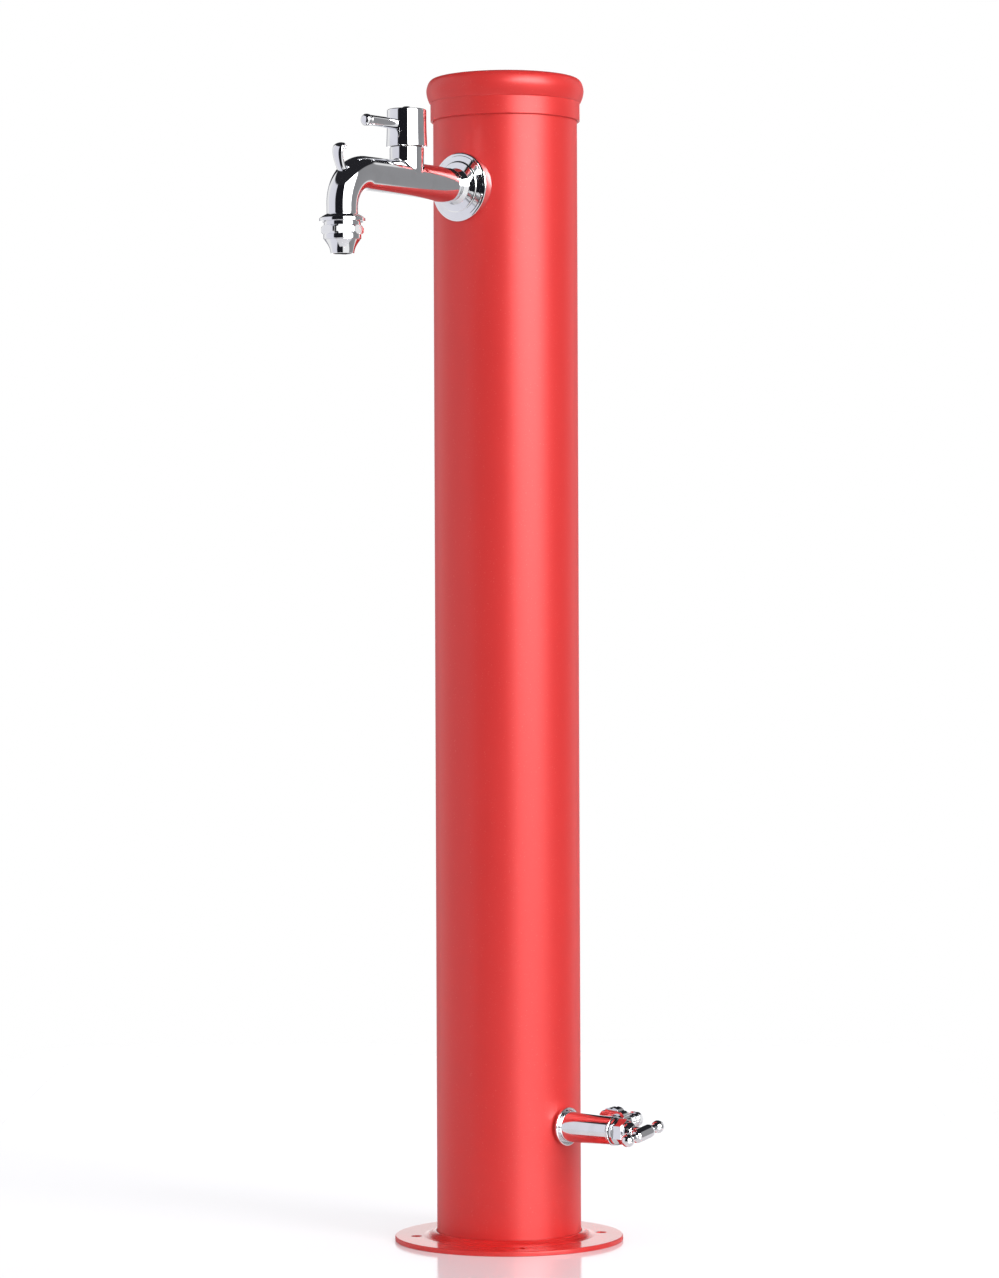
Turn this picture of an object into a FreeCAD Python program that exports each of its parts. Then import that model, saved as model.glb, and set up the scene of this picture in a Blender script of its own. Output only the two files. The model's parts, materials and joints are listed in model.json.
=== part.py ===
import FreeCAD, Part
import math
import os

# Garden tap column: a painted tube on a round base plate, a round cap on top, a large lever tap with a
# bucket hook near the top and a small angle valve near the foot, both fed by a riser inside the tube.
# Millimetres. The origin is the centre of the base plate's underside, +Z is up, the lever tap points
# to -Y and the angle valve to +X.

os.makedirs("parts", exist_ok=True)

Vector = FreeCAD.Vector
UP = Vector(0, 0, 1)
FRONT = Vector(0, -1, 0)
SIDE = Vector(1, 0, 0)

# Column
column_d = 120.0
column_wall = 2.0
column_height = 968.0
plate_d = 190.0
plate_thick = 4.0
plate_edge_round = 0.8
plate_pipe_hole_d = 64.0
bolt_circle_d = 155.0
bolt_hole_d = 9.0
bolt_count = 4
collar_d = 140.0
collar_height = 4.0

# Cap
cap_skirt_height = 15.5
cap_bead_height = 21.0
cap_skirt_wall = 2.0
cap_bead_stand = 3.3
cap_crown_thick = 2.5
cap_seat_depth = 8.0
cap_seat_width = 4.0
cap_crown_flat_in = 8.5
cap_bead_drop = 12.0
cap_bead_tuck = 0.3
cap_tuck_drop = 4.2
cap_crease_stand = 0.9
cap_edge = 0.4

# Clearances between neighbouring pieces
thread_gap = 0.12
slip_gap = 0.2
turn_gap = 0.08
press_gap = 0.02
lift_gap = 0.3
wall_hole_gap = 0.5

# Water fittings: half-inch thread, branch bodies and the plastic riser
thread_d = 20.96
water_bore_d = 14.0
fitting_d = 28.0
fitting_reach = 24.0
fitting_corner_gap = 0.6
spigot_length = 10.0
spigot_socket_depth = 12.0
riser_d = 16.0
riser_wall = 2.0
riser_nut_flats = 27.0
riser_nut_rim = 4.0
ferrule_length = 3.0
inlet_end_z = 12.0
inlet_thread_length = 18.0
inlet_hex_flats = 24.0
inlet_hex_length = 10.0

# Wall fixing of both taps
gasket_min_thick = 0.8
washer_thick = 8.0
lock_nut_flats = 27.0
lock_nut_thick = 6.0

# Upper lever tap
upper_drop = 95.5
upper_z = column_height - upper_drop
upper_rosette_d = 56.6
upper_rosette_thick = 5.9
rosette_rim_front = 1.2
rosette_rim_round = 1.0
rosette_rim_fall = 0.6
rosette_step_d = 42.6
rosette_step_width = 1.2
rosette_step_front = 3.1
rosette_step_rise = 1.0
rosette_skirt_wall = 2.0
upper_washer_d = 40.0
neck_d = 30.0
neck_length = 3.7
neck_waist_d = 25.0
neck_groove_depth = 0.5
neck_groove_width = 0.6
cone_length = 8.0
cone_bulge = 0.6
spout_root_d = 28.8
spout_end_d = 25.2
spout_reach = 208.0
spout_bend_r = 26.5
spout_rise = 1.2
spout_rise_power = 0.3
spout_bend_stand = 1.4
spout_leg_drop = 33.1
spout_leg_end_z = upper_z - spout_leg_drop
spout_bore_d = 15.0
valve_reach = 128.0
boss_d = 27.8
boss_rise = 26.6
boss_top_z = upper_z + boss_rise
chamber_d = 18.4
chamber_floor_above_axis = 8.0
seat_port_d = 9.0
outlet_port_d = 7.0
spout_bore_start = 142.0
inlet_bore_overrun = 5.0

# Bucket hook on the spout's bend
hook_width = 10.8
hook_thick = 4.6

# Cartridge of the upper tap
cartridge_seal_thick = 1.4
cartridge_disc_thick = 3.0
cartridge_disc_d = 13.6
cartridge_skirt_d = 16.4
cartridge_skirt_top = 12.4
cartridge_hex_flats = 17.0
cartridge_hex_height = 8.0
spindle_d = 8.0
spindle_foot_thick = 3.0

# Lever of the upper tap
handle_d = 32.0
handle_flare_d = 33.2
handle_height = 30.5
handle_cavity_d = 25.0
handle_cavity_height = 10.5
handle_round = 1.0
handle_edge = 0.4
handle_top_wall = 4.0
lever_d = 8.8
lever_tip_d = 9.8
lever_tip_length = 4.6
lever_tip_round = 1.9
lever_groove_width = 1.6
lever_groove_depth = 0.6
lever_reach = 37.4
lever_depth = 7.0
lever_rise = 44.5
lever_z = upper_z + lever_rise
button_d = 8.4
button_height = 2.6
button_dome = 1.6
button_shank_d = 4.0
button_shank_length = 12.0

# Outlet of the upper tap
skirt_d = 37.0
skirt_drop = 6.2
skirt_rim = 2.6
skirt_lip = 1.0
skirt_collar = 0.6
skirt_bulge = 0.2
skirt_hollow = 1.6
band_d = 29.6
band_height = 3.2
outlet_seal_thick = 1.5
outlet_thread_length = 17.4
nozzle_flats = 30.0
nozzle_nut_turn_deg = -16.5
nozzle_nut_height = 7.0
nozzle_ring_d = 30.4
nozzle_ring_height = 4.2
nozzle_waist_d = 22.8
nozzle_waist_rise = 7.0
nozzle_end_d = 19.0
nozzle_lip_height = 2.0
nozzle_lip_flare = 0.3
nozzle_ring_edge = 0.5
nozzle_bore_d = 15.0
nozzle_drop = 64.7
nozzle_end_z = upper_z - nozzle_drop
strainer_d = 16.6
strainer_thick = 2.4
strainer_rib = 1.2

# Lower angle valve
lower_z = 98.4
lower_rosette_d = 31.8
lower_rosette_thick = 2.4
lower_rosette_groove = 0.9
lower_gasket_d = 26.0
lower_bead_width = 1.8
lower_washer_d = 32.0
barrel_root_d = 25.2
barrel_end_d = 22.8
barrel_end_reach = 111.8
barrel_ring_length = 2.0
barrel_ring_stand = 0.6
barrel_groove = 0.4
chamber_length = 19.8
seat_reach = barrel_end_reach - chamber_length
seat_hole_d = 10.0
seat_web = 4.0
barrel_chamber_d = 17.0
bonnet_thread_d = 19.0
bonnet_thread_length = 5.0
bonnet_seal_thick = 1.0
bonnet_flats = 18.4
bonnet_flange_d = 22.6
bonnet_turn_deg = 30.0
bonnet_flange_thick = 1.8
bonnet_length = 11.2
bonnet_floor = 7.5
gland_thread_d = 13.6
gland_thread_length = 4.6
gland_nut_d = 16.6
gland_nut_nose_d = 11.0
gland_nut_length = 6.1
gland_nut_end = 1.8
packing_d = 11.4
lower_spindle_d = 8.0
lower_stem_d = 7.0
lower_collar_d = 13.0
lower_collar_thick = 1.8
piston_d = 14.2
piston_length = 11.0
piston_travel = 4.0
piston_washer_d = 13.6
piston_washer_thick = 2.9
piston_rest_gap = 0.1
piston_end_wall = 1.5
stem_tip_gap = 0.3

# Side outlet of the angle valve, and the T handle, each tilted by its own angle
outlet_tilt_deg = 5.5
handle_tilt_deg = 10.0
outlet_setback = 13.8
outlet_reach = barrel_end_reach - outlet_setback
outlet_neck_d = 19.0
outlet_thread_start = 13.0
outlet_end = 20.0
outlet_bore_d = 11.0
tail_seal_thick = 1.5
tail_flange_d = 20.4
tail_flange_thick = 2.0
tail_neck_d = 16.2
union_d = 31.6
union_collar_d = 21.0
union_start = 13.6
union_length = 12.4
union_crown_length = 8.0
union_tooth_count = 12
union_tooth_depth = 1.3
union_edge = 0.8
tail_d = 12.0
tail_barb_d = 14.2
tail_bore_d = 9.0
tail_barb_pitch = 6.0
tail_barb_count = 3
tail_lead = 4.0
tail_neck_stand = 1.0
tail_barb_land = 1.0
handle_stand = 27.2
handle_reach = barrel_end_reach + handle_stand
handle_hub_length = 7.0
handle_hub_wall = 1.2
handle_bar_d = 11.2
handle_bar_length = 22.5
handle_bar_round = 2.6
handle_neck_d = 6.2
handle_ball_d = 10.6
handle_ball_spacing = 41.5

# Values worked out from the ones above
column_r = column_d / 2
column_inner_r = column_r - column_wall
thread_r = thread_d / 2
water_bore_r = water_bore_d / 2
fitting_r = fitting_d / 2
fitting_seat = thread_r + fitting_corner_gap
upper_gasket_d = upper_rosette_d - 2 * (rosette_skirt_wall + slip_gap)
wall_hole_r = thread_r + wall_hole_gap
gasket_front = column_r + gasket_min_thick
washer_back = column_inner_r - washer_thick
cap_seat_z = column_height - cap_seat_depth
column_top_z = cap_seat_z - lift_gap


class Outline:
    """A closed profile of a turned piece: x is the radius, z the height along the piece's own axis."""

    def __init__(self, radius, height):
        self.start = Vector(radius, 0, height)
        self.here = self.start
        self.edges = []

    def line(self, radius, height):
        there = Vector(radius, 0, height)
        if there.distanceToPoint(self.here) > 1e-6:
            self.edges.append(Part.LineSegment(self.here, there).toShape())
        self.here = there
        return self

    def arc(self, via_radius, via_height, radius, height):
        there = Vector(radius, 0, height)
        self.edges.append(Part.Arc(self.here, Vector(via_radius, 0, via_height), there).toShape())
        self.here = there
        return self

    def round_out(self, radius, height, corner_radius, corner_height):
        """A quarter-round-like arc that bulges towards the given corner."""
        middle = self.here.add(Vector(radius, 0, height)).multiply(0.5)
        corner = Vector(corner_radius, 0, corner_height)
        via = middle.add(corner.sub(middle).multiply(math.sqrt(2) - 1))
        return self.arc(via.x, via.z, radius, height)

    def dome(self, height):
        """A round cap from here up to the axis, square to the axis at its top."""
        radius = self.here.x
        rise = height - self.here.z
        ball_r = (radius ** 2 + rise ** 2) / (2 * rise)
        half_angle = math.asin(radius / ball_r) / 2
        via_z = height - ball_r * (1 - math.cos(half_angle))
        return self.arc(ball_r * math.sin(half_angle), via_z, 0, height)

    def turned(self):
        self.line(self.start.x, self.start.z)
        solid = Part.Face(Part.Wire(self.edges)).revolve(Vector(0, 0, 0), UP, 360)
        if solid.Volume < 0:
            solid.reverse()
        return solid


def tube(outer_r, inner_r, low, high):
    """A plain ring or pipe along +Z."""
    ring = Part.makeCylinder(outer_r, high - low, Vector(0, 0, low))
    return ring.cut(rod(inner_r, low - 1, high + 1))


def rod(radius, low, high):
    """A plain round bar along +Z."""
    return Part.makeCylinder(radius, high - low, Vector(0, 0, low))


def hexagon(flats, low, high):
    """A six-sided prism along +Z with its corners on X, chamfered at both ends like a real nut."""
    corner_r = flats / math.sqrt(3)
    corners = [turned_point(corner_r, 60 * step) for step in range(7)]
    prism = Part.Face(Part.makePolygon(corners)).extrude(Vector(0, 0, high - low))
    prism.translate(Vector(0, 0, low))
    bevel = corner_r - flats / 2
    barrel = Outline(0, low).line(flats / 2, low).line(corner_r + bevel, low + bevel)
    barrel.line(corner_r + bevel, high - bevel).line(flats / 2, high).line(0, high)
    return prism.common(barrel.turned())


def turned_point(radius, degrees):
    angle = math.radians(degrees)
    return Vector(radius * math.cos(angle), radius * math.sin(angle), 0)


def laid(shape, direction, origin=Vector(0, 0, 0)):
    """The shape with its own +Z turned to a direction and its origin moved."""
    moved = shape.copy()
    moved.Placement = FreeCAD.Placement(origin, FreeCAD.Rotation(UP, direction))
    return moved


def upper(shape):
    """From a piece's own axis to the lever tap's: own height is the distance from the column's axis."""
    return laid(shape, FRONT, Vector(0, 0, upper_z))


def lower(shape):
    """From a piece's own axis to the angle valve's, with own +Y turned up as on the lever tap."""
    moved = shape.copy()
    moved.Placement = FreeCAD.Placement(Vector(0, 0, lower_z), FreeCAD.Rotation(Vector(1, 1, 1), 120))
    return moved


def at_valve(shape):
    """From the column's axis to the upright axis of the lever tap's valve."""
    moved = shape.copy()
    moved.translate(Vector(0, -valve_reach, 0))
    return moved


def at_spout(shape):
    """From the column's axis to the upright axis of the spout's outlet."""
    moved = shape.copy()
    moved.translate(Vector(0, -spout_reach, 0))
    return moved


def tilted(degrees):
    """The level direction +Y, lifted by an angle."""
    tilt = math.radians(degrees)
    return Vector(0, math.cos(tilt), math.sin(tilt))


def side_outlet(shape):
    """From a piece's own axis to the angle valve's side outlet: own height is measured from the barrel."""
    return laid(shape, tilted(outlet_tilt_deg), Vector(outlet_reach, 0, lower_z))


def save(name, shape):
    shape.exportStep("parts/" + name + ".step")
    if not shape.isValid():
        print(name, "is not valid")
    print(name, len(shape.Solids), "solid,", round(shape.Volume), "mm3")


# Column

def base_plate():
    """Round plate with a pipe hole, bolt holes and the low weld collar that the tube stands in."""
    plate_r = plate_d / 2
    collar_r = collar_d / 2
    inner_r = plate_pipe_hole_d / 2
    top = plate_thick
    tube_seat_r = column_r + slip_gap
    body = Outline(inner_r, 0).line(plate_r, 0).line(plate_r, top - plate_edge_round)
    body.round_out(plate_r - plate_edge_round, top, plate_r, top)
    body.line(collar_r, top)
    body.line(tube_seat_r + column_wall / 2, top + collar_height).line(tube_seat_r, top + collar_height)
    body.line(tube_seat_r, top).line(inner_r, top)
    plate = body.turned()
    for hole in range(bolt_count):
        centre = turned_point(bolt_circle_d / 2, 360 / bolt_count * (hole + 0.5))
        plate = plate.cut(Part.makeCylinder(bolt_hole_d / 2, plate_thick * 3, centre.sub(UP * plate_thick)))
    return plate


def column_tube():
    """The painted tube with one hole for each tap's shank."""
    pipe = tube(column_r, column_inner_r, plate_thick, column_top_z)
    shank_hole = rod(wall_hole_r, column_inner_r / 2, column_d)
    return pipe.cut(upper(shank_hole)).cut(lower(shank_hole))


def column_cap():
    """Push-on cap: a plain skirt round the tube and a rounded bead with a flat crown above it."""
    inner_r = column_r + slip_gap
    skirt_r = inner_r + cap_skirt_wall
    bead_r = skirt_r + cap_bead_stand
    top = column_height
    crease_z = top - cap_bead_height
    low_z = crease_z - cap_skirt_height
    bead_z = top - cap_bead_drop
    crown_r = bead_r - cap_crown_flat_in
    body = Outline(0, top).line(crown_r, top)
    body.round_out(bead_r, bead_z, bead_r, top)
    body.arc(bead_r - cap_bead_tuck, bead_z - cap_tuck_drop, skirt_r + cap_crease_stand, crease_z)
    body.line(skirt_r, crease_z - cap_edge).line(skirt_r, low_z + cap_edge).line(skirt_r - cap_edge, low_z)
    body.line(inner_r, low_z).line(inner_r, cap_seat_z)
    body.line(inner_r - cap_seat_width, cap_seat_z)
    body.line(inner_r - cap_seat_width, top - cap_crown_thick).line(0, top - cap_crown_thick)
    return body.turned()


# Water supply on the column's axis

def inlet_nipple():
    """Threaded inlet stub: male end down for the supply hose, hexagon, male end up in the tee."""
    tee_seat_z = lower_z - fitting_seat
    hex_low = inlet_end_z + inlet_thread_length
    body = rod(thread_r, inlet_end_z, tee_seat_z)
    body = body.fuse(hexagon(inlet_hex_flats, hex_low, hex_low + inlet_hex_length))
    return body.cut(rod(water_bore_r, inlet_end_z - 1, tee_seat_z + 1)).removeSplitter()


def branch_body():
    """The part that tee and elbow share: a riser end with a spigot and a socket for the tap's shank.

    It is made with the riser end along +Z and the socket along +X."""
    shoulder = fitting_reach - spigot_length
    body = rod(fitting_r, 0, shoulder).fuse(rod(thread_r, shoulder, fitting_reach))
    return body.fuse(laid(rod(fitting_r, 0, fitting_reach), SIDE))


def branch_bores():
    """The water way through a branch body, with the pipe's socket and the shank's socket."""
    bores = rod(water_bore_r, 0, fitting_reach + 1)
    bores = bores.fuse(rod(riser_d / 2 + thread_gap, spigot_socket_depth, fitting_reach + 1))
    socket = rod(thread_r + thread_gap, fitting_seat, fitting_reach + 1)
    return bores.fuse(laid(rod(water_bore_r, 0, fitting_reach).fuse(socket), SIDE))


def supply_tee():
    """Tee at the angle valve's height: inlet below, riser above, shank of the valve at the side."""
    body = branch_body().fuse(rod(fitting_r, -fitting_reach, 1))
    bores = branch_bores().fuse(rod(water_bore_r, -fitting_reach, 1))
    bores = bores.fuse(rod(thread_r + thread_gap, -fitting_reach - 1, -fitting_seat))
    tee = body.cut(bores)
    tee.translate(Vector(0, 0, lower_z))
    return tee


def riser_elbow():
    """Elbow at the lever tap's height: riser below, shank of the tap at the front."""
    outside = branch_body().fuse(Part.makeSphere(fitting_r))
    elbow = outside.cut(branch_bores().fuse(Part.makeSphere(water_bore_r)))
    elbow.rotate(Vector(0, 0, 0), SIDE, 180)
    elbow.rotate(Vector(0, 0, 0), UP, -90)
    elbow.translate(Vector(0, 0, upper_z))
    return elbow


def riser_pipe():
    """Plastic pipe from the tee's socket to the elbow's."""
    low = lower_z + spigot_socket_depth
    high = upper_z - spigot_socket_depth
    return tube(riser_d / 2, riser_d / 2 - riser_wall, low, high)


def riser_nut():
    """Compression nut, made as it sits on the tee, with its own height from the branch's centre."""
    low = fitting_reach - spigot_length + lift_gap
    shoulder = fitting_reach + ferrule_length
    body = hexagon(riser_nut_flats, low, shoulder + riser_nut_rim)
    body = body.cut(rod(thread_r + thread_gap, low - 1, shoulder))
    return body.cut(rod(riser_d / 2 + slip_gap, shoulder - 1, shoulder + riser_nut_rim + 1))


def ferrule():
    """Clamping ring between the spigot's end and the nut's shoulder."""
    return tube(thread_r - slip_gap, riser_d / 2 + thread_gap / 2, fitting_reach, fitting_reach + ferrule_length)


def at_both_branches(shape):
    """A riser piece at the tee and its mirror image at the elbow, as one group of two solids."""
    below = shape.copy()
    below.translate(Vector(0, 0, lower_z))
    above = shape.copy()
    above.rotate(Vector(0, 0, 0), SIDE, 180)
    above.translate(Vector(0, 0, upper_z))
    return Part.makeCompound([below, above])


# Wall fixing, the same for both taps but for the size and the side

def wall_gasket(outer_d):
    """Saddle gasket: flat in front, hollowed behind to the column's round."""
    ring = tube(outer_d / 2, wall_hole_r, column_inner_r / 2, gasket_front)
    return ring.cut(laid(rod(column_r, -column_d, column_d), Vector(0, 1, 0)))


def wall_washer(outer_d):
    """Saddle washer inside the column: flat for the lock nut, rounded to the tube's inner wall."""
    ring = tube(outer_d / 2, wall_hole_r, washer_back, column_r)
    return ring.common(laid(rod(column_inner_r, -column_d, column_d), Vector(0, 1, 0)))


def lock_nut():
    """Hexagon nut that draws the tap's shank against the wall."""
    body = hexagon(lock_nut_flats, washer_back - lock_nut_thick, washer_back)
    return body.cut(rod(thread_r + thread_gap, 0, column_r))


# Upper lever tap

rosette_front = gasket_front + upper_rosette_thick
chamber_floor_z = upper_z + chamber_floor_above_axis
chamber_r = chamber_d / 2
bend_start = spout_reach - spout_bend_r


def upper_rosette():
    """Cup-shaped cover plate: a skirt cut to the column's round and a face that climbs in two stages."""
    rim_r = upper_rosette_d / 2
    skirt_inner_r = rim_r - rosette_skirt_wall
    step_r = rosette_step_d / 2
    crest_r = step_r - rosette_step_width
    bore_r = thread_r + thread_gap
    rim_front = gasket_front + rosette_rim_front
    step_front = gasket_front + rosette_step_front
    crest_front = step_front + rosette_step_rise
    body = Outline(bore_r, gasket_front).line(skirt_inner_r, gasket_front).line(skirt_inner_r, 0).line(rim_r, 0)
    body.line(rim_r, rim_front - rosette_rim_fall)
    body.round_out(rim_r - rosette_rim_round, rim_front, rim_r, rim_front)
    body.line(step_r, step_front).line(crest_r, crest_front)
    body.line(neck_d / 2, rosette_front).line(bore_r, rosette_front)
    return body.turned().cut(laid(rod(column_r + lift_gap, -column_d, column_d), Vector(0, 1, 0)))


def spout_station(distance, rise, slope_deg, radius):
    """One round section of the spout, square to a line that dips from the front by the slope."""
    ring = Part.Wire(Part.makeCircle(radius))
    turn = FreeCAD.Rotation(SIDE, 90 + slope_deg)
    ring.Placement = FreeCAD.Placement(Vector(0, -distance, upper_z + rise), turn)
    return ring


def spout_outside():
    """The spout's skin: a straight taper that rises a little, then a quarter bend down to the outlet."""
    root_r = spout_root_d / 2
    end_r = spout_end_d / 2
    start = rosette_front + neck_length + cone_length
    sections = []
    for share in (0.0, 0.35, 0.7, 1.0):
        distance = start + (bend_start - start) * share
        radius = root_r + (end_r + spout_bend_stand - root_r) * share
        sections.append(spout_station(distance, spout_rise * share ** spout_rise_power, 0, radius))
    for slope in (22.5, 45.0, 67.5, 90.0):
        angle = math.radians(slope)
        lift = spout_rise * math.cos(angle)
        distance = bend_start + spout_bend_r * math.sin(angle)
        rise = spout_bend_r * (math.cos(angle) - 1) + lift
        sections.append(spout_station(distance, rise, slope, end_r + spout_bend_stand * math.cos(angle)))
    sections.append(spout_station(spout_reach, spout_leg_end_z - upper_z, 90, end_r))
    return Part.makeLoft(sections, True, False)


def spout_bore():
    """The spout's water way: a straight bore, a quarter bend and the outlet's bore."""
    bore_r = spout_bore_d / 2
    low_z = spout_leg_end_z - outlet_thread_length - 1
    level = upper(rod(bore_r, spout_bore_start, bend_start))
    centre = Vector(0, -bend_start, upper_z - spout_bend_r)
    mouth = Part.Face(Part.Wire(Part.makeCircle(bore_r, Vector(0, -bend_start, upper_z), FRONT)))
    bend = mouth.revolve(centre, SIDE, 90)
    drop = at_spout(rod(bore_r, low_z, upper_z - spout_bend_r))
    return level.fuse(bend).fuse(drop)


def hook_section(distance, height, slope_deg, half_width, half_thick):
    """One oval section of the bucket hook, square to a line that climbs from the front by the slope."""
    ring = Part.Wire(Part.Ellipse(Vector(0, 0, 0), half_width, half_thick).toShape())
    turn = FreeCAD.Rotation(SIDE, 90 - slope_deg)
    ring.Placement = FreeCAD.Placement(Vector(0, -spout_reach - distance, upper_z + height), turn)
    return ring


def bucket_hook():
    """Curved finger that grows out of the bend and curls back at its broad tip."""
    wide = hook_width / 2
    thick = hook_thick / 2
    sections = [
        hook_section(-6.0, -5.5, 50, wide * 0.9, thick * 1.6),
        hook_section(1.2, 3.5, 62, wide * 0.82, thick * 1.2),
        hook_section(4.6, 11.5, 78, wide * 0.88, thick),
        hook_section(5.4, 17.5, 98, wide, thick),
        hook_section(3.6, 21.6, 138, wide, thick * 0.92),
        hook_section(1.0, 21.8, 200, wide * 0.92, thick * 0.85),
        hook_section(-0.2, 19.4, 235, wide * 0.66, thick * 0.65),
    ]
    return Part.makeLoft(sections, True, False)


def upper_tap_body():
    """Chromed casting: shank, neck, spout with hook, valve boss and the water ways inside."""
    waist_r = neck_waist_d / 2
    groove_r = waist_r - neck_groove_depth
    root_r = spout_root_d / 2
    neck_end = rosette_front + neck_length
    cone_start = neck_end + neck_groove_width
    cone_end = neck_end + cone_length
    body = Outline(0, fitting_seat).line(thread_r, fitting_seat).line(thread_r, rosette_front)
    body.line(neck_d / 2, rosette_front).line(waist_r, neck_end).line(groove_r, neck_end)
    body.line(groove_r, cone_start).line(waist_r, cone_start)
    body.arc((waist_r + root_r) / 2 + cone_bulge, (cone_start + cone_end) / 2, root_r, cone_end)
    body.line(0, cone_end)
    outside = upper(body.turned()).fuse(spout_outside())
    boss = at_valve(rod(boss_d / 2, upper_z, boss_top_z))
    thread = at_spout(rod(thread_r, spout_leg_end_z - outlet_thread_length, spout_leg_end_z))
    outside = outside.fuse([boss, thread, bucket_hook()])
    inlet = upper(rod(water_bore_r, fitting_seat - 1, valve_reach + inlet_bore_overrun))
    port = at_valve(rod(seat_port_d / 2, upper_z, chamber_floor_z + 1))
    chamber = at_valve(rod(chamber_r, chamber_floor_z, boss_top_z + 1))
    exit_start = Vector(0, -valve_reach - chamber_r + outlet_port_d / 2, chamber_floor_z + outlet_port_d / 2)
    exit_end = Vector(0, -spout_bore_start - spout_bore_d / 2, upper_z)
    run = exit_end.sub(exit_start)
    exit_port = Part.makeCylinder(outlet_port_d / 2, run.Length, exit_start, run)
    return outside.cut([inlet, port, chamber, exit_port, spout_bore()])


# Cartridge and lever, on the upright axis of the valve

seal_top_z = chamber_floor_z + cartridge_seal_thick
turning_disc_z = seal_top_z + cartridge_disc_thick + turn_gap
spindle_foot_z = turning_disc_z + cartridge_disc_thick
spindle_foot_top_z = spindle_foot_z + spindle_foot_thick
housing_top_z = boss_top_z + cartridge_hex_height
handle_low_z = boss_top_z + lift_gap
handle_top_z = handle_low_z + handle_height
handle_core_z = handle_low_z + handle_cavity_height
spindle_top_z = handle_top_z - handle_top_wall


def cartridge_seal():
    """Rubber ring between the chamber's floor and the cartridge."""
    return at_valve(tube(chamber_r - slip_gap, seat_port_d / 2 + slip_gap, chamber_floor_z, seal_top_z))


def cartridge_housing():
    """Brass headwork: slotted skirt in the chamber, threaded neck in the boss, hexagon above it."""
    disc_r = cartridge_disc_d / 2 + slip_gap
    skirt_top = seal_top_z + cartridge_skirt_top
    body = rod(cartridge_skirt_d / 2, seal_top_z, skirt_top).fuse(rod(chamber_r - thread_gap, skirt_top, boss_top_z))
    body = body.fuse(hexagon(cartridge_hex_flats, boss_top_z, housing_top_z))
    body = body.cut(rod(disc_r, seal_top_z - 1, spindle_foot_top_z + slip_gap))
    body = body.cut(rod(spindle_d / 2 + turn_gap, seal_top_z, housing_top_z + 1))
    window = Part.makeBox(chamber_d, disc_r, cartridge_disc_thick)
    window.translate(Vector(-chamber_d / 2, -disc_r / 2, turning_disc_z))
    return at_valve(body.cut(window))


def ceramic_disc(low_z):
    """Disc with two opposite quarter ports."""
    top_z = low_z + cartridge_disc_thick
    disc = rod(cartridge_disc_d / 2, low_z, top_z)
    for side in (-1, 1):
        port = Part.makeCylinder(cartridge_disc_d / 5, cartridge_disc_thick + 2, Vector(0, 0, low_z - 1))
        port.translate(Vector(0, side * cartridge_disc_d / 4, 0))
        disc = disc.cut(port)
    return at_valve(disc)


def cartridge_spindle():
    """Turning spindle: a driving foot on the disc and a stem up into the handle."""
    body = rod(cartridge_disc_d / 2, spindle_foot_z, spindle_foot_top_z)
    body = body.fuse(rod(spindle_d / 2, spindle_foot_z, spindle_top_z))
    screw_hole = rod(button_shank_d / 2 + thread_gap, handle_top_z - button_shank_length - 1, spindle_top_z + 1)
    return at_valve(body.cut(screw_hole).removeSplitter())


def handle_cap():
    """Round handle over the headwork, with a socket for the spindle and one for the lever."""
    top_r = handle_d / 2
    low_r = handle_flare_d / 2
    body = Outline(0, handle_core_z).line(handle_cavity_d / 2, handle_core_z)
    body.line(handle_cavity_d / 2, handle_low_z).line(low_r - handle_edge, handle_low_z)
    body.line(low_r, handle_low_z + handle_edge).line(top_r, handle_top_z - handle_round)
    body.round_out(top_r - handle_round, handle_top_z, top_r, handle_top_z).line(0, handle_top_z)
    cap = body.turned()
    cap = cap.cut(rod(spindle_d / 2 + thread_gap / 2, handle_core_z - 1, spindle_top_z))
    cap = cap.cut(rod(button_shank_d / 2 + thread_gap, handle_core_z, handle_top_z + 1))
    socket = laid(rod(lever_d / 2 + thread_gap / 2, top_r - lever_depth, top_r + 1), FRONT, Vector(0, 0, lever_z))
    return at_valve(cap.cut(socket))


def lever_rod():
    """Round lever with a grooved, domed tip."""
    start = handle_d / 2 - lever_depth
    end = handle_d / 2 + lever_reach
    bar_r = lever_d / 2
    tip_r = lever_tip_d / 2
    groove_r = bar_r - lever_groove_depth
    tip_start = end - lever_tip_length
    groove_start = tip_start - lever_groove_width
    body = Outline(0, start).line(bar_r, start).line(bar_r, groove_start)
    body.line(groove_r, groove_start + lever_groove_depth / 2).line(groove_r, tip_start - lever_groove_depth)
    body.line(tip_r, tip_start).line(tip_r, end - lever_tip_round)
    body.round_out(tip_r - lever_tip_round, end, tip_r, end).line(0, end)
    return at_valve(laid(body.turned(), FRONT, Vector(0, 0, lever_z)))


def handle_button():
    """Domed screw that holds the handle on the spindle."""
    head_r = button_d / 2
    shank_r = button_shank_d / 2
    low_z = handle_top_z - button_shank_length
    body = Outline(0, low_z).line(shank_r, low_z).line(shank_r, handle_top_z).line(head_r, handle_top_z)
    body.line(head_r, handle_top_z + button_height - button_dome).dome(handle_top_z + button_height)
    return at_valve(body.turned())


# Outlet of the lever tap, on the spout's upright axis

band_low_z = spout_leg_end_z - skirt_drop - band_height
thread_end_z = spout_leg_end_z - outlet_thread_length
nozzle_seat_z = thread_end_z - outlet_seal_thick
nozzle_ring_z = band_low_z - nozzle_nut_height
nozzle_cone_z = nozzle_ring_z - nozzle_ring_height


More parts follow.
